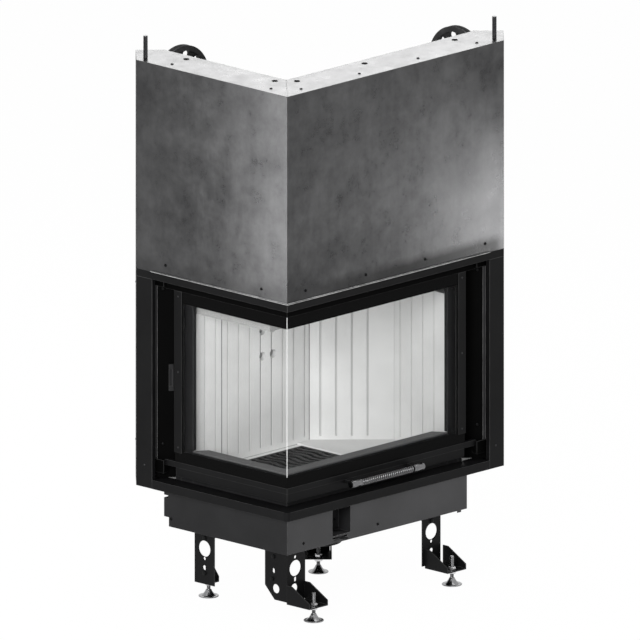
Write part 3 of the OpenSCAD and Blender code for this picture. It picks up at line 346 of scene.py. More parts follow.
def rope_braid():
    """Woven glass rope: two crossing sets of strands and loose fibre."""
    f = Finish("woven_glass_rope")
    x, y, z = (f.axis(a) for a in "XYZ")
    pitch = 1400.0
    climb = (x + y + z) * pitch
    one = climb.math("SINE", climb)
    other = one.math("SINE", (x + y - z) * pitch)
    weave = f.spread(one * other, -1.0, 1.0)
    fibre = f.noise(3200.0, 2.0, 0.6)
    base = f.mix(weave * 0.7 + fibre * 0.3, grey(0.012), grey(0.05))
    return f.surface(Base_Color=base, Roughness=0.9, Normal=f.bump(weave, 0.0006, 0.7))


def wire_rope():
    """Laid steel cable: strands that climb round it at a slant."""
    f = Finish("laid_steel_cable")
    x, y, z = (f.axis(a) for a in "XYZ")
    climb = (x + y) * 1500.0 + z * 900.0
    lay = f.spread(climb.math("SINE", climb), -1.0, 1.0)
    base = f.mix(lay, grey(0.16), grey(0.6))
    return f.surface(Base_Color=base, Metallic=1.0, Roughness=0.38,
                     Normal=f.bump(lay, 0.0004, 0.8))


def corner_bead():
    """The pale bead between the two panes, with tiny bubbles along it."""
    f = Finish("pale_glass_bead")
    bubbles = f.noise(700.0, 2.0, 0.6)
    base = f.mix(f.spread(bubbles, 0.3, 0.7), grey(0.72), grey(0.92))
    return f.surface(Base_Color=base, Roughness=0.22, Normal=f.bump(bubbles, 0.0001, 0.4))


# Mesh helpers


def node_mesh(node):
    """A copy of a CAD node's mesh, its doubled corners merged."""
    bm = bmesh.new()
    bm.from_mesh(frame["nodes"][node].data)
    bmesh.ops.remove_doubles(bm, verts=bm.verts, dist=MERGE)
    return bm


def outward(bm):
    """Turns the faces of closed solids outward."""
    bmesh.ops.recalc_face_normals(bm, faces=bm.faces)
    return bm


def new_object(name, data):
    """An object at the origin, in the scene."""
    made = bpy.data.objects.new(name, data)
    bpy.context.scene.collection.objects.link(made)
    return made


def finish_piece(name, bm, material, body, node_names=(), smooth=35.0):
    """Turns a bmesh into a piece that rides on a body and stands for CAD nodes."""
    mesh = bpy.data.meshes.new(name)
    bm.to_mesh(mesh)
    bm.free()
    mesh.materials.append(material)
    mesh.polygons.foreach_set("use_smooth", [True] * len(mesh.polygons))
    mesh.set_sharp_from_angle(angle=math.radians(smooth))
    piece = new_object(name, mesh)
    if body:
        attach(piece, body)
    if node_names:
        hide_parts(*node_names)
    return piece


def break_edges(bm, width, rubbed):
    """Rounds the long straight edges of a mesh and leaves the rims of its holes sharp."""
    mark = bm.faces.layers.float.new(EDGE_SHEEN_AND_WEAR)
    sharp = [e for e in bm.edges if len(e.link_faces) == 2 and e.calc_length() > width * 5.0
             and e.calc_face_angle(0.0) > STEEP]
    if sharp:
        made = bmesh.ops.bevel(bm, geom=sharp, offset=width, offset_type="OFFSET", segments=2,
                               profile=0.5, affect="EDGES", clamp_overlap=True)
        # The narrow faces get their share of painted edge highlight
        for face in made["faces"]:
            face[mark] = rubbed


def softened(node, material, width, rubbed):
    """A CAD node with broken edges, in a worked finish. Its flat faces keep their own normals."""
    bm = node_mesh(node)
    bmesh.ops.dissolve_limit(bm, angle_limit=FLAT, verts=bm.verts, edges=bm.edges)
    break_edges(bm, width, rubbed)
    body = frame["nodes"][node]["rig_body"]
    piece = finish_piece(node + "_worked", bm, material, body, (node,))
    even = piece.modifiers.new("even_shading", "WEIGHTED_NORMAL")
    even.mode = "FACE_AREA"
    even.weight = 100
    even.keep_sharp = True
    rough_mesh = piece.data
    ready = piece.evaluated_get(bpy.context.evaluated_depsgraph_get())
    piece.data = bpy.data.meshes.new_from_object(ready)
    piece.modifiers.clear()
    bpy.data.meshes.remove(rough_mesh)
    return piece


def islands(node):
    """The lowest and highest corner of each separate solid in a CAD node."""
    bm = node_mesh(node)
    seen, found = set(), []
    for start in bm.verts:
        if start in seen:
            continue
        seen.add(start)
        members = [start]
        for vert in members:
            for edge in vert.link_edges:
                other = edge.other_vert(vert)
                if other not in seen:
                    seen.add(other)
                    members.append(other)
        found.append([Vector([end(vert.co[i] for vert in members) for i in range(3)])
                      for end in (min, max)])
    bm.free()
    return found


def above_middle(low, high, z):
    """The point at a height on the upright line through a box's middle."""
    middle = (low + high) / 2
    return Vector((middle.x, middle.y, z))


def ring(bm, radii, z, place=UPRIGHT):
    """Vertices at even angles round the z axis of a placing matrix, one for each radius."""
    turns = [(r, 2 * math.pi * i / len(radii)) for i, r in enumerate(radii)]
    return [bm.verts.new(place @ Vector((r * math.cos(a), r * math.sin(a), z))) for r, a in turns]


def skin(bm, rings, capped=True):
    """Joins rings of vertices with quads, and closes the first and the last."""
    for lower, upper in zip(rings, rings[1:]):
        for i in range(len(lower)):
            j = (i + 1) % len(lower)
            bm.faces.new((lower[i], lower[j], upper[j], upper[i]))
    if capped:
        bm.faces.new(list(reversed(rings[0])))
        bm.faces.new(rings[-1])


def add_lathe(bm, profile, place=UPRIGHT, steps=48):
    """Turns a profile of (radius, height) points round the z axis of a placing matrix."""
    rings = [ring(bm, [radius] * (steps if radius else 1), height, place)
             for radius, height in profile]
    for lower, upper in zip(rings, rings[1:]):
        for i in range(steps):
            j = (i + 1) % steps
            corners = list(dict.fromkeys((lower[i % len(lower)], lower[j % len(lower)],
                                          upper[j % len(upper)], upper[i % len(upper)])))
            if len(corners) > 2:
                bm.faces.new(corners)


def add_thread(bm, radius, depth, pitch, low, high, place):
    """A threaded bar along z: its radius rises and falls along one climbing groove."""
    steps, rings_per_turn = 20, 6
    count = max(4, round((high - low) / pitch * rings_per_turn))
    rings = []
    for k in range(count + 1):
        z = low + (high - low) * k / count
        fade = min(1.0, k / rings_per_turn, (count - k) / rings_per_turn)
        turns = [(z / pitch - i / steps) % 1.0 for i in range(steps)]
        crest = radius - depth * 0.4 * (1.0 - fade)
        radii = [crest - depth * fade * (1.0 - abs(2.0 * turn - 1.0)) for turn in turns]
        rings.append(ring(bm, radii, z, place))
    skin(bm, rings)


def add_hex(bm, across, height, bore, place=UPRIGHT, chamfer=0.12):
    """A hexagon nut or bolt head with chamfered corners; bore 0 makes it a head."""
    corner = across / math.sqrt(3.0)
    cut = across * chamfer
    profile = [(corner - cut, 0.0), (corner, cut * 0.6),
               (corner, height - cut * 0.6), (corner - cut, height)]
    if bore:
        profile += [(bore, height), (bore, 0.0)]
    rings = [ring(bm, [radius] * 6, z, place) for radius, z in profile]
    skin(bm, rings + rings[:1] if bore else rings, capped=not bore)


def add_tube(bm, path, radius, sides=12):
    """A round tube along a list of points, closed at both ends."""
    rings = []
    side = None
    for i, point in enumerate(path):
        ahead = (path[min(i + 1, len(path) - 1)] - path[max(i - 1, 0)]).normalized()
        if side is None:
            side = ahead.orthogonal().normalized()
        side = (side - ahead * side.dot(ahead)).normalized()
        other = ahead.cross(side)
        turns = [2 * math.pi * k / sides for k in range(sides)]
        rings.append([bm.verts.new(point + (side * math.cos(a) + other * math.sin(a)) * radius)
                      for a in turns])
    skin(bm, rings)


def add_box(bm, low, high):
    corners = [bm.verts.new(Vector([(low, high)[k >> a & 1][a] for a in range(3)]))
               for k in range(8)]
    for face in ((0, 2, 3, 1), (4, 5, 7, 6), (0, 1, 5, 4),
                 (2, 6, 7, 3), (0, 4, 6, 2), (1, 3, 7, 5)):
        bm.faces.new([corners[k] for k in face])


# Geometry node trees


class Shaper(Graph):
    """A geometry tree while its nodes are laid out."""

    def __init__(self, name, **inputs):
        super().__init__(bpy.data.node_groups.new(name, "GeometryNodeTree"))
        sockets = self.tree.interface
        sockets.new_socket("Geometry", in_out="OUTPUT", socket_type="NodeSocketGeometry")
        for label, kind in {"Geometry": "Geometry", **inputs, "Finish": "Material"}.items():
            sockets.new_socket(label, in_out="INPUT", socket_type="NodeSocket" + kind)

    def given(self, label):
        return self.node("NodeGroupInput", out=label)

    def done(self, shape):
        """Ends the tree in plain geometry with its finish."""
        real = self.node("GeometryNodeRealizeInstances", {}, shape)
        painted = self.node("GeometryNodeSetMaterial", {}, Geometry=real,
                            Material=self.given("Finish"))
        self.node("NodeGroupOutput", {}, Geometry=painted)
        return self.tree


def bake_tree(name, tree, mesh, values):
    """Runs a tree on a mesh and gives the result as a bmesh."""
    holder = new_object(name, mesh)
    modifier = holder.modifiers.new(name, "NODES")
    modifier.node_group = tree
    for item in tree.interface.items_tree:
        if item.in_out == "INPUT" and item.name in values:
            modifier[item.identifier] = values[item.name]
    ready = holder.evaluated_get(bpy.context.evaluated_depsgraph_get())
    bm = bmesh.new()
    bm.from_mesh(bpy.data.meshes.new_from_object(ready))
    holder.modifiers.clear()
    bpy.data.objects.remove(holder)
    return bm


def scatter_tree():
    """Stands a copy of one mesh on each point, turned along the point's aim."""
    s = Shaper("stand_on_points", Copy="Object")
    points = s.node("GeometryNodeMeshToPoints", {}, Mesh=s.given("Geometry"))
    copy = s.node("GeometryNodeObjectInfo", {}, Object=s.given("Copy"), out="Geometry")
    aim = s.node("GeometryNodeInputNamedAttribute", {"data_type": "FLOAT_VECTOR"}, Name="aim",
                 out="Attribute")
    turn = s.node("FunctionNodeAlignRotationToVector", {"axis": "Z"}, Vector=aim)
    return s.done(s.node("GeometryNodeInstanceOnPoints", {}, Points=points, Instance=copy,
                         Rotation=turn))


def coil_tree():
    """Winds a round wire into a coil along the x axis."""
    s = Shaper("wound_coil", Curls="Float", Bend="Float", Wire="Float", Length="Float",
               Place="Vector")
    bend = s.given("Bend")
    wound = s.node("GeometryNodeCurveSpiral", {}, Resolution=32, Rotations=s.given("Curls"),
                   Start_Radius=bend, End_Radius=bend, Height=s.given("Length"))
    wire = s.node("GeometryNodeCurvePrimitiveCircle", {}, Resolution=12, Radius=s.given("Wire"))
    coil = s.node("GeometryNodeCurveToMesh", {}, Curve=wound, Profile_Curve=wire, Fill_Caps=True)
    return s.done(s.node("GeometryNodeTransform", {}, Geometry=coil, Translation=s.given("Place"),
                         Rotation=(0.0, math.pi / 2, 0.0)))


def aim_points(name, places):
    """A mesh of loose points, each with the direction that its copy faces."""
    mesh = bpy.data.meshes.new(name)
    mesh.from_pydata([point for point, _ in places], [], [])
    aims = mesh.attributes.new("aim", "FLOAT_VECTOR", "POINT")
    for item, (_, direction) in zip(aims.data, places):
        item.vector = direction
    return mesh


def stand_copies(name, places, prototype, material, body, node_names):
    """One piece made of a copy of the prototype at each place."""
    mesh = bpy.data.meshes.new(name + "_one")
    outward(prototype).to_mesh(mesh)
    prototype.free()
    copy = new_object(name + "_one", mesh)
    bm = bake_tree(name, scatter_tree(), aim_points(name + "_points", places),
                   {"Copy": copy, "Finish": material})
    bpy.data.objects.remove(copy)
    return finish_piece(name, bm, material, body, node_names)


# Add-on properties


def swatch(name, description, *default):
    return FloatVectorProperty(name=name, description=description, subtype="COLOR",
                               default=default, min=0.0, max=1.0)


def span(name, description, default, least, most):
    """A length; its three values are in millimetres."""
    return FloatProperty(name=name, description=description, unit="LENGTH",
                         default=default * MM, min=least * MM, max=most * MM)


class FireplaceColours(bpy.types.PropertyGroup):
    """Colours of the finishes."""

    steel_dark: swatch("Steel, dark", "Dark clouds of the bare casing", 0.036, 0.036, 0.037)
    steel_light: swatch("Steel, light", "Light clouds of the bare casing", 0.072, 0.072, 0.073)
    black: swatch("Black paint", "Satin paint of the portal and door", 0.0035, 0.0035, 0.0037)
    # Also painted shade on the firebox hood and the door's top rail
    soot: swatch("Dull black", "Dull paint of what lies behind the door", 0.0008, 0.0008, 0.0008)
    charcoal: swatch("Charcoal paint", "Paint of the air box and firebox", 0.010, 0.010, 0.0105)
    ledge: swatch("Ledge paint", "Grey paint of the ledge inside the glass", 0.085, 0.085, 0.086)
    board_dark: swatch("Board, dark", "Darker clouds of the lining", 0.68, 0.68, 0.675)
    board_light: swatch("Board, light", "Lighter clouds of the lining", 0.78, 0.78, 0.775)
    zinc: swatch("Zinc", "Plated nuts", 0.72, 0.72, 0.73)
    iron: swatch("Iron", "Grate and cable wheels", 0.013, 0.013, 0.0135)


class FireplaceSizes(bpy.types.PropertyGroup):
    """Sizes that only the finish needs."""

    casing_fold: span("Casing fold", "Rounding of the casing's edges", 0.8, 0.1, 0.9)
    fold: span("Fold radius", "Rounding of a folded sheet's edges", 0.6, 0.1, 0.9)
    plate_edge: span("Plate edge", "Rounding of thick plates and rails", 0.9, 0.1, 1.4)
    brick_edge: span("Brick edge", "Rounding of bricks and castings", 1.2, 0.2, 2.0)
    board_edge: span("Board edge", "Rounding of the lining's panels and grooves", 0.4, 0.1, 1.0)
    glass_edge: span("Glass edge", "Rounding of the panes' edges", 0.4, 0.1, 1.0)
    bead_edge: span("Bead edge", "Rounding of the bead between the panes", 0.15, 0.05, 0.5)
    # The seam is a dark strip of painted shade in a joint
    seam: span("Seam", "Width of the dark cement between two panels", 1.8, 0.5, 3.0)
    print_low: span("Lower print", "Printed border above the bottom rail", 29.0, 5.0, 40.0)
    print_high: span("Upper print", "Printed border below the top rail", 30.0, 5.0, 40.0)
    print_side: span("End print", "Printed border beside a stile", 2.0, 0.0, 20.0)
    print_skin: span("Print thickness", "Thickness of the printed layer", 0.15, 0.05, 0.3)
    wire: span("Coil wire", "Diameter of the coil's wire", 3.0, 1.0, 4.0)
    curls: IntProperty(name="Curls", description="Curls of the handle's coil",
                       default=26, min=8, max=60)


class FireplaceStage(bpy.types.PropertyGroup):
    """The camera."""

    azimuth: FloatProperty(name="Azimuth", description="Horizontal angle of the camera",
                           default=math.radians(-45.85), unit="ROTATION")
    elevation: FloatProperty(name="Elevation", description="Angle of the camera above the horizon",
                             default=math.radians(14.72), unit="ROTATION")
    frame_width: FloatProperty(name="View width", description="Width of the view at the object",
                               default=640 * 2.54 * MM, unit="LENGTH")
    distance: FloatProperty(name="Distance", description="Distance of the camera",
                            default=6.0, unit="LENGTH")


# Operators


class Paints:
    """Finishes by key; each is made when it is first asked for."""

    made = {}

    def __init__(self, colours):
        self.makers = {
            "steel": (rolled_steel, colours),
            "black": (satin_paint, "satin_black_paint", colours.black, 0.40, 0.08),
            "charcoal": (satin_paint, "charcoal_paint", colours.charcoal, 0.48, 0.12),
            "soot": (satin_paint, "dull_black_paint", colours.soot, 0.62, 0.02),
            "ledge": (satin_paint, "ledge_grey_paint", colours.ledge, 0.55, 0.2),
            "zinc": (zinc_plate, "bright_zinc", colours.zinc, 0.28),
            "foot": (zinc_plate, "foot_zinc", (0.30, 0.30, 0.305), 0.18),
            "coil": (zinc_plate, "coil_wire", (0.23, 0.23, 0.235), 0.16),
            "chrome": (zinc_plate, "polished_chrome", (0.19, 0.19, 0.195), 0.14),
            "dark_zinc": (zinc_plate, "dark_zinc_plate", (0.06, 0.06, 0.062), 0.36),
            "black_oxide": (zinc_plate, "black_oxide", (0.012, 0.012, 0.0125), 0.45),
            "iron": (sand_casting, "sand_cast_iron", colours.iron, 0.62),
            "weight": (sand_casting, "weight_iron", (0.05, 0.05, 0.052), 0.55),
            "board": (fire_board, "refractory_board", colours.board_dark, colours.board_light),
            # The baffle is a darker board than the lining
            "baffle": (fire_board, "sooted_board", (0.27, 0.27, 0.265), (0.34, 0.34, 0.335)),
            "glass": (door_glass,),
            "print": (printed_enamel,),
            "rope": (rope_braid,),
            "cable": (wire_rope,),
            "bead": (corner_bead,),
        }

    def __getitem__(self, key):
        if key not in Paints.made:
            maker, *values = self.makers[key]
            Paints.made[key] = maker(*values)
        return Paints.made[key]


class Maker:
    """What the operators share."""

    bl_options = {"REGISTER", "UNDO"}

    @property
    def paint(self):
        return Paints(bpy.context.scene.fireplace_colours)

    @property
    def sizes(self):
        return bpy.context.scene.fireplace_sizes

    def dress(self, slot, edge, finish, nodes, rubbed=0.06):
        """Works the CAD nodes named in one string, and gives their pieces' meshes."""
        width = getattr(self.sizes, edge)
        return [softened(node, self.paint[finish], width, rubbed).data
                for node in nodes.split()]

    def piece(self, name, bm, finish, body, slot, *nodes, smooth=35.0):
        return finish_piece(name, bm, self.paint[finish], body, nodes, smooth)


class FIREPLACE_OT_casing(Maker, bpy.types.Operator):
    """Bare steel casing panels, and the threaded rods that hang the insert"""

    bl_idname = "fireplace.casing"
    bl_label = "Casing"

    def execute(self, context):
        for mesh in self.dress("raw_steel", "casing_fold", "steel", "casing_side casing_front"):
            self.rub_lip(mesh)
        groove, pitch = 0.9 * MM, 1.75 * MM
        bm = bmesh.new()
        for low, high in islands("hanger_rods"):
            add_thread(bm, (high.x - low.x) / 2, groove, pitch, low.z, high.z,
                       Matrix.Translation(above_middle(low, high, 0.0)))
        self.piece("hanger_rods_threaded", bm, "dark_zinc", STOVE, "bright_steel", "hanger_rods")
        return {"FINISHED"}

    @staticmethod
    def rub_lip(mesh):
        """Painted highlight: the upper edge of the bottom lip is lightened fully, where it catches
        the light.
        """
        foot = min(v.co.z for v in mesh.vertices)
        lip = 8.0 * MM
        for mark, face in zip(mesh.attributes[EDGE_SHEEN_AND_WEAR].data, mesh.polygons):
            if mark.value > 0.0 and face.normal.z > 0.1 and face.center.z < foot + lip:
                mark.value = 1.0


class FIREPLACE_OT_portal(Maker, bpy.types.Operator):
    """Black portal: posts, sill, top strip, end walls and columns, guides and catch"""

    bl_idname = "fireplace.portal"
    bl_label = "Portal"

    def execute(self, context):
        # The third value is how far the broken edges are lightened: a painted highlight with some
        # wear
        for finish, nodes, rubbed in (
            ("black", "portal_post_side portal_post_front", 0.1),
            ("black", "portal_sill", 0.15),
            ("black", "portal_strip", 0.1),
            ("soot", "end_walls", 0.0),
            ("black", "end_columns base_plate", 0.0),
        ):
            self.dress("black_enamel", "fold", finish, nodes, rubbed)
        self.dress("bright_steel", "fold", "charcoal", "guide_strips", 0.35)
        self.dress("grey_enamel", "fold", "charcoal", "door_catch")
        return {"FINISHED"}


class FIREPLACE_OT_firebox(Maker, bpy.types.Operator):
    """Firebox shell, hood, roof, flue collar, inner frame and threshold"""

    bl_idname = "fireplace.firebox"
    bl_label = "Firebox"

    def execute(self, context):
        for finish, nodes in (
            ("charcoal", "firebox_shell firebox_roof flue_collar"),
            # Painted shade: the hood is deep black for the shadow that the portal strip casts on it
            ("soot", "firebox_hood"),
            ("charcoal", "frame_post_side frame_post_front frame_bottom_rail"),
            ("ledge", "threshold"),
        ):
            self.dress("grey_enamel", "plate_edge", finish, nodes)
        return {"FINISHED"}


class FIREPLACE_OT_lining(Maker, bpy.types.Operator):
    """Grooved lining panels with painted shade in their grooves and seams, floor bricks, baffle and
    the cast grate
    """

    bl_idname = "fireplace.lining"
    bl_label = "Lining"

    def execute(self, context):
        for nodes, shade in (("lining_back_left lining_back", 0.55),
                             ("lining_diagonal", 0.85), ("lining_right", 0.2)):
            for mesh in self.dress("fire_brick", "board_edge", "board", nodes):
                self.mark_grooves(mesh, shade)
        self.dress("fire_brick", "brick_edge", "board", "floor_slabs")
        self.dress("fire_brick", "brick_edge", "baffle", "baffle")
        self.seams()
        self.dress("cast", "brick_edge", "iron", "grate")
        return {"FINISHED"}

    @staticmethod
    def mark_grooves(mesh, shade):
        """Marks the painted shade of the faces that lie deeper than a panel's face: grooves and the
        insides of holes.
        """
        into_room = Vector((-1.0, -1.0, 0.0))
        front = max((p for p in mesh.polygons if p.normal.dot(into_room) > 0.9),
                    key=lambda p: p.area)
        groove_length, groove_depth, hole_depth = 0.3, 5.0 * MM, 20.0 * MM
        marks = mesh.attributes.new(GROOVE_SHADE, "FLOAT", "FACE")
        for mark, face in zip(marks.data, mesh.polygons):
            depth = (front.center - face.center).dot(front.normal)
            heights = [mesh.vertices[v].co.z for v in face.vertices]
            tall = max(heights) - min(heights) > groove_length
            facing = face.normal.dot(front.normal) > 0.99
            if tall and 0.1 * MM < depth < groove_depth:
                mark.value = shade * (0.28 if facing else 0.6)
            elif 1.0 * MM < depth < hole_depth and not tall:
                mark.value = 0.8 if facing else 0.25 * float(abs(face.normal.z) < 0.9)

    def seams(self):
        """Painted shade: a dark strip in the joints at both ends of the back panel stands for the
        shadow between the panels.
        """
        low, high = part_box("lining_back")
        seam = self.sizes.seam
        bm = bmesh.new()
        for middle in (low.x - seam / 8, high.x - seam / 2):
            add_box(bm, Vector((middle - seam / 2, low.y - 0.3 * MM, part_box("floor_slabs")[1].z)),
                    Vector((middle + seam / 2, low.y + 0.2 * MM, high.z)))
        self.piece("lining_seams", outward(bm), "soot", STOVE, "fire_brick")


class FIREPLACE_OT_door(Maker, bpy.types.Operator):
    """Door rails, stiles, carriages and rope gaskets"""

    bl_idname = "fireplace.door"
    bl_label = "Door"

    def execute(self, context):
        self.dress("black_enamel", "fold", "black", "door_rail door_stiles")
        # Painted shade: the top rail is deep black for the shadow under the portal strip
        self.dress("black_enamel", "fold", "soot", "door_top_rail")
        self.dress("grey_enamel", "plate_edge", "soot", "door_carriages")
        self.dress("rope_seal", "plate_edge", "rope", "gaskets")
        return {"FINISHED"}


class FIREPLACE_OT_glass(Maker, bpy.types.Operator):
    """The two panes, their printed black borders and the bead at the corner"""

    bl_idname = "fireplace.glass"
    bl_label = "Glass"

    def execute(self, context):
        low_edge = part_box("door_rail")[1].z + self.sizes.print_low
        high_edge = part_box("door_top_rail")[0].z - self.sizes.print_high
        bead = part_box("glass_corner_bead")
        stile_width = 26.0 * MM
        for node, along, face in (("glass_front", 0, 1), ("glass_side", 1, 0)):
            self.dress("door_glass", "glass_edge", "glass", node)
            low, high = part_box(node)
            stile_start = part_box("door_stiles")[1][along] - stile_width
            bm = bmesh.new()
            for z_low, z_high, from_end in (
                (low.z, low_edge, bead[0][along]),
                (high_edge, high.z, bead[1][along]),
                (low_edge, high_edge, stile_start - self.sizes.print_side),
            ):
                corner, end = Vector(low), Vector(high)
                corner.z, end.z = z_low, z_high
                corner[face], end[face] = low[face] - self.sizes.print_skin, low[face]
                corner[along] = from_end
                add_box(bm, corner, end)
            self.piece(node + "_print", outward(bm), "print", DOOR, "black_enamel")
        self.dress("edge_bead", "bead_edge", "bead", "glass_corner_bead")
        return {"FINISHED"}


class FIREPLACE_OT_handle(Maker, bpy.types.Operator):
    """Handle bar, turned sleeves, stand-offs and the wound coil grip"""

    bl_idname = "fireplace.handle"
    bl_label = "Handle"

    def execute(self, context):
        self.dress("black_enamel", "plate_edge", "black", "handle_brackets")
        low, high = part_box("handle_bar")
        middle = (low + high) / 2
        along = Matrix.Rotation(math.pi / 2, 4, "Y")
        # The sleeves cover the bar's ends with a cap
        cap, round_off = 1.2 * MM, 0.6 * MM
        radius, length = (high.z - low.z) / 2, high.x - low.x - cap * 2
        bm = bmesh.new()
        add_lathe(bm, [(0.0, 0.0), (radius - round_off, 0.0), (radius, round_off),
                       (radius, length - round_off), (radius - round_off, length), (0.0, length)],
                  Matrix.Translation((low.x + cap, middle.y, middle.z)) @ along)
        self.piece("handle_bar_turned", outward(bm), "black_oxide", DOOR, "bright_steel",
                   "handle_bar")
        bore = radius + 0.05 * MM
        bm = bmesh.new()
        for low_s, high_s in islands("handle_sleeves"):
            outer, length = (high_s.z - low_s.z) / 2, high_s.x - low_s.x
            groove = length * 0.16
            half = [(outer - 1.2 * MM, 0.0), (outer - 0.3 * MM, 0.4 * MM), (outer, 1.4 * MM),
                    (outer, groove - 0.8 * MM), (outer - 0.5 * MM, groove),
                    (outer, groove + 0.8 * MM)]
            profile = [(0.0, 0.0), *half, *((r, length - h) for r, h in reversed(half)),
                       (bore, length), (bore, cap), (0.0, cap)]
            if low_s.x > middle.x:
                profile = [(r, length - h) for r, h in reversed(profile)]
            add_lathe(bm, profile, Matrix.Translation((low_s.x, middle.y, middle.z)) @ along)
        bmesh.ops.remove_doubles(bm, verts=bm.verts, dist=MERGE)
        self.piece("handle_sleeves_turned", outward(bm), "chrome", DOOR, "bright_steel",
                   "handle_sleeves")
        self.wind(middle)
        return {"FINISHED"}

    def wind(self, middle):
        low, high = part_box("handle_coil")
        wire = self.sizes.wire / 2
        bm = bake_tree("handle_coil_wound", coil_tree(), bpy.data.meshes.new("coil_start"), {
            "Curls": float(self.sizes.curls), "Bend": (high.z - low.z) / 2 - wire, "Wire": wire,
            "Length": high.x - low.x - self.sizes.wire,
            "Place": (low.x + wire, middle.y, middle.z), "Finish": self.paint["coil"],
        })
        bmesh.ops.remove_doubles(bm, verts=bm.verts, dist=MERGE)
        self.piece("handle_coil_wound", outward(bm), "coil", DOOR, "bright_steel", "handle_coil",
                   smooth=60.0)


class FIREPLACE_OT_lift_gear(Maker, bpy.types.Operator):
    """Cable wheels, mounts, counterweights, guides and the laid cables"""

    bl_idname = "fireplace.lift_gear"
    bl_label = "Lift gear"

    def execute(self, context):
        self.dress("cast", "plate_edge", "iron", "wheel_side wheel_front")
        self.dress("cast", "brick_edge", "weight", "weight_side weight_front")
        self.dress("grey_enamel", "plate_edge", "charcoal", "wheel_mounts")
        self.dress("black_enamel", "fold", "black", "weight_guides")
        self.run_cable("side", ("cables_weight",), ("cables_door",))
        self.run_cable("front", (), ())
        return {"FINISHED"}

    def run_cable(self, end, over_nodes, door_nodes):
        """One cable in three pieces: over the wheel, door side, and weight side."""
        steps = 24
        centre = sum(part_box("wheel_" + end), Vector()) / 2
        low, high = min(islands("cables_door"), key=lambda box: (box[0] - centre).length)
        radius = (high.x - low.x) / 2
        foot = above_middle(low, high, low.z)
        top = above_middle(low, high, centre.z)
        low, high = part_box("weight_" + end)
        weight_top = above_middle(low, high, high.z)
        arm = foot - centre
        arm.z = 0.0
        far = Vector((centre.x - arm.x, centre.y - arm.y, centre.z))
        bm = bmesh.new()
        add_tube(bm, [centre + arm * math.cos(math.pi * i / steps)
                      + Vector((0.0, 0.0, arm.length)) * math.sin(math.pi * i / steps)
                      for i in range(steps + 1)], radius)
        self.piece("cable_over_wheel_" + end, bm, "cable", STOVE, "bright_steel", *over_nodes)
        for name, body, near, away, nodes in (
            ("cable_door_" + end, DOOR, top, foot, door_nodes),
            ("cable_weight_" + end, "weight_" + end, far, weight_top, ()),
        ):
            bm = bmesh.new()
            add_tube(bm, [near.lerp(away, i / steps) for i in range(steps + 1)], radius)
            piece = self.piece(name, bm, "cable", None, "bright_steel", *nodes)
            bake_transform(piece)


class FIREPLACE_OT_base(Maker, bpy.types.Operator):
    """Air box with lever and collar, legs, foot brackets and turned levelling feet"""

    bl_idname = "fireplace.base"
    bl_label = "Base"

    def execute(self, context):
        self.dress("grey_enamel", "fold", "charcoal", "air_box air_collar")
        self.dress("black_enamel", "fold", "charcoal", "air_lever")
        self.dress("black_enamel", "fold", "black",
                   "leg_corner leg_front_right leg_rear_left leg_rear_right foot_brackets")
        spindle, groove, pitch, cone_top = 5.0 * MM, 0.75 * MM, 1.5 * MM, 19.0 * MM
        bm = bmesh.new()
        for low, high in islands("levelling_feet"):
            place = Matrix.Translation(above_middle(low, high, low.z))
            disc = (high.x - low.x) / 2
            add_lathe(bm, [(0.0, 0.0), (disc - 0.8 * MM, 0.0), (disc, 0.8 * MM), (disc, 2.2 * MM),
                           (disc - 0.8 * MM, 3.0 * MM), (19.0 * MM, 3.0 * MM),
                           (17.0 * MM, 4.4 * MM), (12.5 * MM, 9.0 * MM), (9.0 * MM, 14.0 * MM),
                           (7.2 * MM, 18.0 * MM), (6.4 * MM, cone_top), (0.0, cone_top)], place)
            add_thread(bm, spindle, groove, pitch, cone_top, high.z - low.z, place)
        self.piece("levelling_feet_turned", outward(bm), "foot", STOVE, "bright_steel",
                   "levelling_feet")
        return {"FINISHED"}


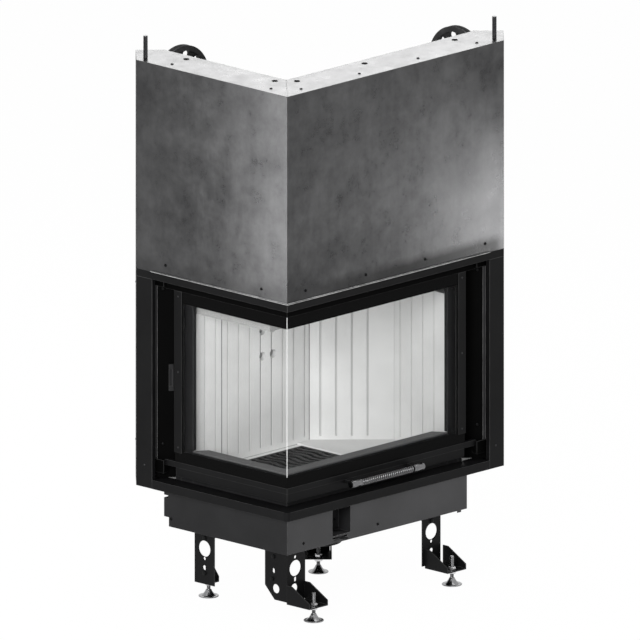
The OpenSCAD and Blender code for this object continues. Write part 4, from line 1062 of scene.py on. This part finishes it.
class FIREPLACE_OT_fasteners(Maker, bpy.types.Operator):
    """Nuts, leg bolts, and button-head screws with hexagon sockets"""

    bl_idname = "fireplace.fasteners"
    bl_label = "Fasteners"

    def execute(self, context):
        for name, body, node, shape, finish, narrowest, widest in (
            ("small_screws", STOVE, "dark_screws", self.button_head, "dark_zinc", 0.0, SMALL_HEAD),
            ("casing_screws", STOVE, "dark_screws", self.button_head, "black_oxide", SMALL_HEAD,
             INSERT_WIDTH),
            ("flange_inserts", STOVE, "dark_screws", self.insert, "soot", INSERT_WIDTH, 1.0),
            ("stile_screws_turned", DOOR, "stile_screws", self.button_head, "dark_zinc", 0.0, 1.0),
            ("leg_bolt_heads", STOVE, "leg_bolts", self.hexagon_head, "black", 0.0, 1.0),
        ):
            seats = [seat for seat in self.seats(node) if narrowest < seat[0] <= widest]
            wide, thick = seats[0][:2]
            stand_copies(name, [seat[2:] for seat in seats], shape(wide / 2, thick),
                         self.paint[finish], body, (node,))
        bm = bmesh.new()
        for low, high in islands("hex_nuts"):
            height = high.z - low.z
            across = min(high.x - low.x, high.y - low.y)
            # A nut is 0.8 times as high as its thread is wide
            bore = height / 0.8 / 2 + 0.05 * MM
            place = Matrix.Translation(above_middle(low, high, low.z))
            add_hex(bm, across, height, bore, place)
        self.piece("hex_nuts_chamfered", outward(bm), "zinc", STOVE, "bright_steel", "hex_nuts")
        return {"FINISHED"}

    @staticmethod
    def seats(node):
        """For each round head: its diameter and thickness, where it stands and how it faces."""
        found = []
        for low, high in islands(node):
            size = high - low
            middle = (low + high) / 2
            # Its box is thin in the way it faces, and on a 45-degree wall it is square from above
            wide = size.z
            if abs(size.x - size.y) > 0.2 * MM:
                thick = min(size.x, size.y)
                facing = Vector((-1.0, 0.0, 0.0)) if size.x < size.y else Vector((0.0, -1.0, 0.0))
            elif size.z < size.x * 0.7 or size.x > INSERT_WIDTH:
                wide, thick = size.x, size.z
                facing = Vector((0.0, 0.0, 1.0))
            else:
                thick = size.x * math.sqrt(2.0) - wide
                outward_x = -1.0 if middle.x < 0.0 else 1.0
                turned = (outward_x, -outward_x) if wide < SMALL_HEAD else (-1.0, -1.0)
                facing = Vector((*turned, 0.0)).normalized()
            found.append((wide, thick, middle - facing * thick / 2, facing))
        return found

    @staticmethod
    def button_head(radius, height):
        """A domed head with a hexagon socket."""
        socket = radius * 0.42
        dome = [(radius * math.cos(a), height * (0.25 + 0.75 * math.sin(a)))
                for a in (math.radians(d) for d in (0, 25, 45, 62))]
        bm = bmesh.new()
        skin(bm, [ring(bm, [r] * 24, z) for r, z in (
            (radius, 0.0), *dome, (socket, height * 0.9), (socket, height * 0.35))])
        return bm

    @staticmethod
    def insert(radius, height):
        """A blind threaded insert, its chamfered bore dark inside."""
        bore = radius * 0.74
        bm = bmesh.new()
        add_lathe(bm, [(0.0, 0.0), (radius, 0.0), (radius, height - 0.4 * MM),
                       (radius - 0.4 * MM, height), (bore + 0.6 * MM, height),
                       (bore, height - 0.6 * MM), (bore, height * 0.2), (0.0, height * 0.15)],
                  steps=32)
        rim = Matrix.Translation((0.0, 0.0, height + 0.8 * MM))
        add_hex(bm, radius * 2.5, 0.9 * MM, bore, rim, 0.02)
        return bm

    @staticmethod
    def hexagon_head(radius, height):
        bm = bmesh.new()
        add_hex(bm, radius * 2 * math.cos(math.pi / 6), height, 0.0)
        return bm


class FIREPLACE_OT_stage(Maker, bpy.types.Operator):
    """Pale floor, soft lamps, white surroundings and the camera"""

    bl_idname = "fireplace.stage"
    bl_label = "Stage"

    def execute(self, context):
        self.floor()
        self.surroundings(context.scene)
        self.lamps()
        self.camera(context.scene)
        context.scene.view_settings.view_transform = "Standard"
        return {"FINISHED"}

    @staticmethod
    def floor():
        half = 30.0
        mesh = bpy.data.meshes.new("floor")
        mesh.from_pydata([(-half, -half, 0), (half, -half, 0), (half, half, 0), (-half, half, 0)],
                         [], [(0, 1, 2, 3)])
        floor = new_object("floor", mesh)
        f = Finish("pale_floor")
        plain = f.node("ShaderNodeBsdfDiffuse", {}, Color=grey(0.9))
        glow = f.node("ShaderNodeEmission", {}, Color=grey(1.0), Strength=1.0)
        shown = f.node("ShaderNodeMixShader", {}, f.seen() * 0.98, plain, glow)
        mesh.materials.append(f.done(shown))

    @staticmethod
    def surroundings(scene):
        world = bpy.data.worlds.new("white_surroundings")
        scene.world = world
        world.use_nodes = True
        sky = Graph(world.node_tree)
        soft, white = (sky.node("ShaderNodeBackground", {}, Color=grey(1.0), Strength=level)
                       for level in (0.55, 1.0))
        mix = sky.node("ShaderNodeMixShader", {}, sky.seen(), soft, white)
        sky.node("ShaderNodeOutputWorld", {}, Surface=mix)

    @staticmethod
    def lamp(name, place, target, size, power, only=()):
        """A soft lamp; only names the pieces that it lights, where it doesn't light them all."""
        data = bpy.data.lights.new(name, "AREA")
        data.shape = "RECTANGLE"
        data.size, data.size_y = size
        data.energy = power
        lamp = new_object(name, data)
        lamp.location = place
        lamp.rotation_euler = (Vector(target) - Vector(place)).to_track_quat("-Z", "Y").to_euler()
        lamp.visible_camera = False
        if only:
            lit = bpy.data.collections.new(name + "_lights")
            for piece in only:
                lit.objects.link(bpy.data.objects[piece])
            lamp.light_linking.receiver_collection = lit

    def lamps(self):
        panels = ("casing_side_worked", "casing_front_worked")
        base = ("air_box_worked",)
        self.lamp("front", (-3.6, -2.0, 1.8), (0.0, 0.0, 0.6), (1.6, 1.6), 165.0)
        self.lamp("above", (0.3, 0.2, 3.8), (0.0, 0.0, 0.8), (3.5, 3.5), 60.0)
        self.lamp("right", (1.09, -0.88, 0.64), (0.45, -0.27, 0.87), (0.3, 0.35), 4.0, panels)
        self.lamp("left", (-1.13, 0.27, 0.93), (-0.43, -0.40, 1.18), (0.2, 0.8), 5.8, panels)
        self.lamp("low", (1.2, -2.0, 0.7), (0.1, -0.25, 0.2), (0.8, 0.8), 90.0, base)
        self.lamp("behind", (2.4, 2.3, 2.3), (0.0, 0.0, 1.4), (1.8, 1.2), 22.0)

    @staticmethod
    def camera(scene):
        stage = scene.fireplace_stage
        data = bpy.data.cameras.new("camera")
        camera = new_object("camera", data)
        a, e = stage.azimuth, stage.elevation
        back = Vector((math.sin(a) * math.cos(e), -math.cos(a) * math.cos(e), math.sin(e)))
        right = Vector((math.cos(a), math.sin(a), 0.0))
        up = back.cross(right)
        # The glass corner's foot, and where it lies in the picture
        corner = Vector((cad_low.x + 6.0 * MM, cad_low.y + 67.0 * MM, 0.0))
        mid_px, corner_px, corner_py = 320.0, 287.3, 621.7
        per_px = stage.frame_width / 640.0
        aim = corner + right * (mid_px - corner_px) * per_px + up * (corner_py - mid_px) * per_px
        camera.location = aim + back * stage.distance
        camera.rotation_mode = "QUATERNION"
        camera.rotation_quaternion = (-back).to_track_quat("-Z", "Y")
        data.type = "ORTHO"
        data.ortho_scale = stage.frame_width
        data.clip_end = stage.distance * 3.0
        scene.camera = camera


OPERATORS = (
    FIREPLACE_OT_casing, FIREPLACE_OT_portal, FIREPLACE_OT_firebox, FIREPLACE_OT_lining,
    FIREPLACE_OT_door, FIREPLACE_OT_glass, FIREPLACE_OT_handle, FIREPLACE_OT_lift_gear,
    FIREPLACE_OT_base, FIREPLACE_OT_fasteners, FIREPLACE_OT_stage,
)


class FIREPLACE_PT_panel(bpy.types.Panel):
    """Lists the fireplace's pieces"""

    bl_idname = "FIREPLACE_PT_panel"
    bl_label = "Fireplace"
    bl_space_type = "VIEW_3D"
    bl_region_type = "UI"
    bl_category = "Fireplace"

    def draw(self, context):
        for operator in OPERATORS:
            self.layout.operator(operator.bl_idname)


GROUPS = {
    "fireplace_colours": FireplaceColours,
    "fireplace_sizes": FireplaceSizes,
    "fireplace_stage": FireplaceStage,
}
CLASSES = (*GROUPS.values(), *OPERATORS, FIREPLACE_PT_panel)


def register():
    for item in CLASSES:
        bpy.utils.register_class(item)
    for name, group in GROUPS.items():
        setattr(bpy.types.Scene, name, PointerProperty(type=group))


def unregister():
    for name in GROUPS:
        delattr(bpy.types.Scene, name)
    for item in reversed(CLASSES):
        bpy.utils.unregister_class(item)


def main():
    register()
    for operator in OPERATORS:
        family, name = operator.bl_idname.split(".")
        getattr(getattr(bpy.ops, family), name)()


if __name__ == "__main__":
    main()
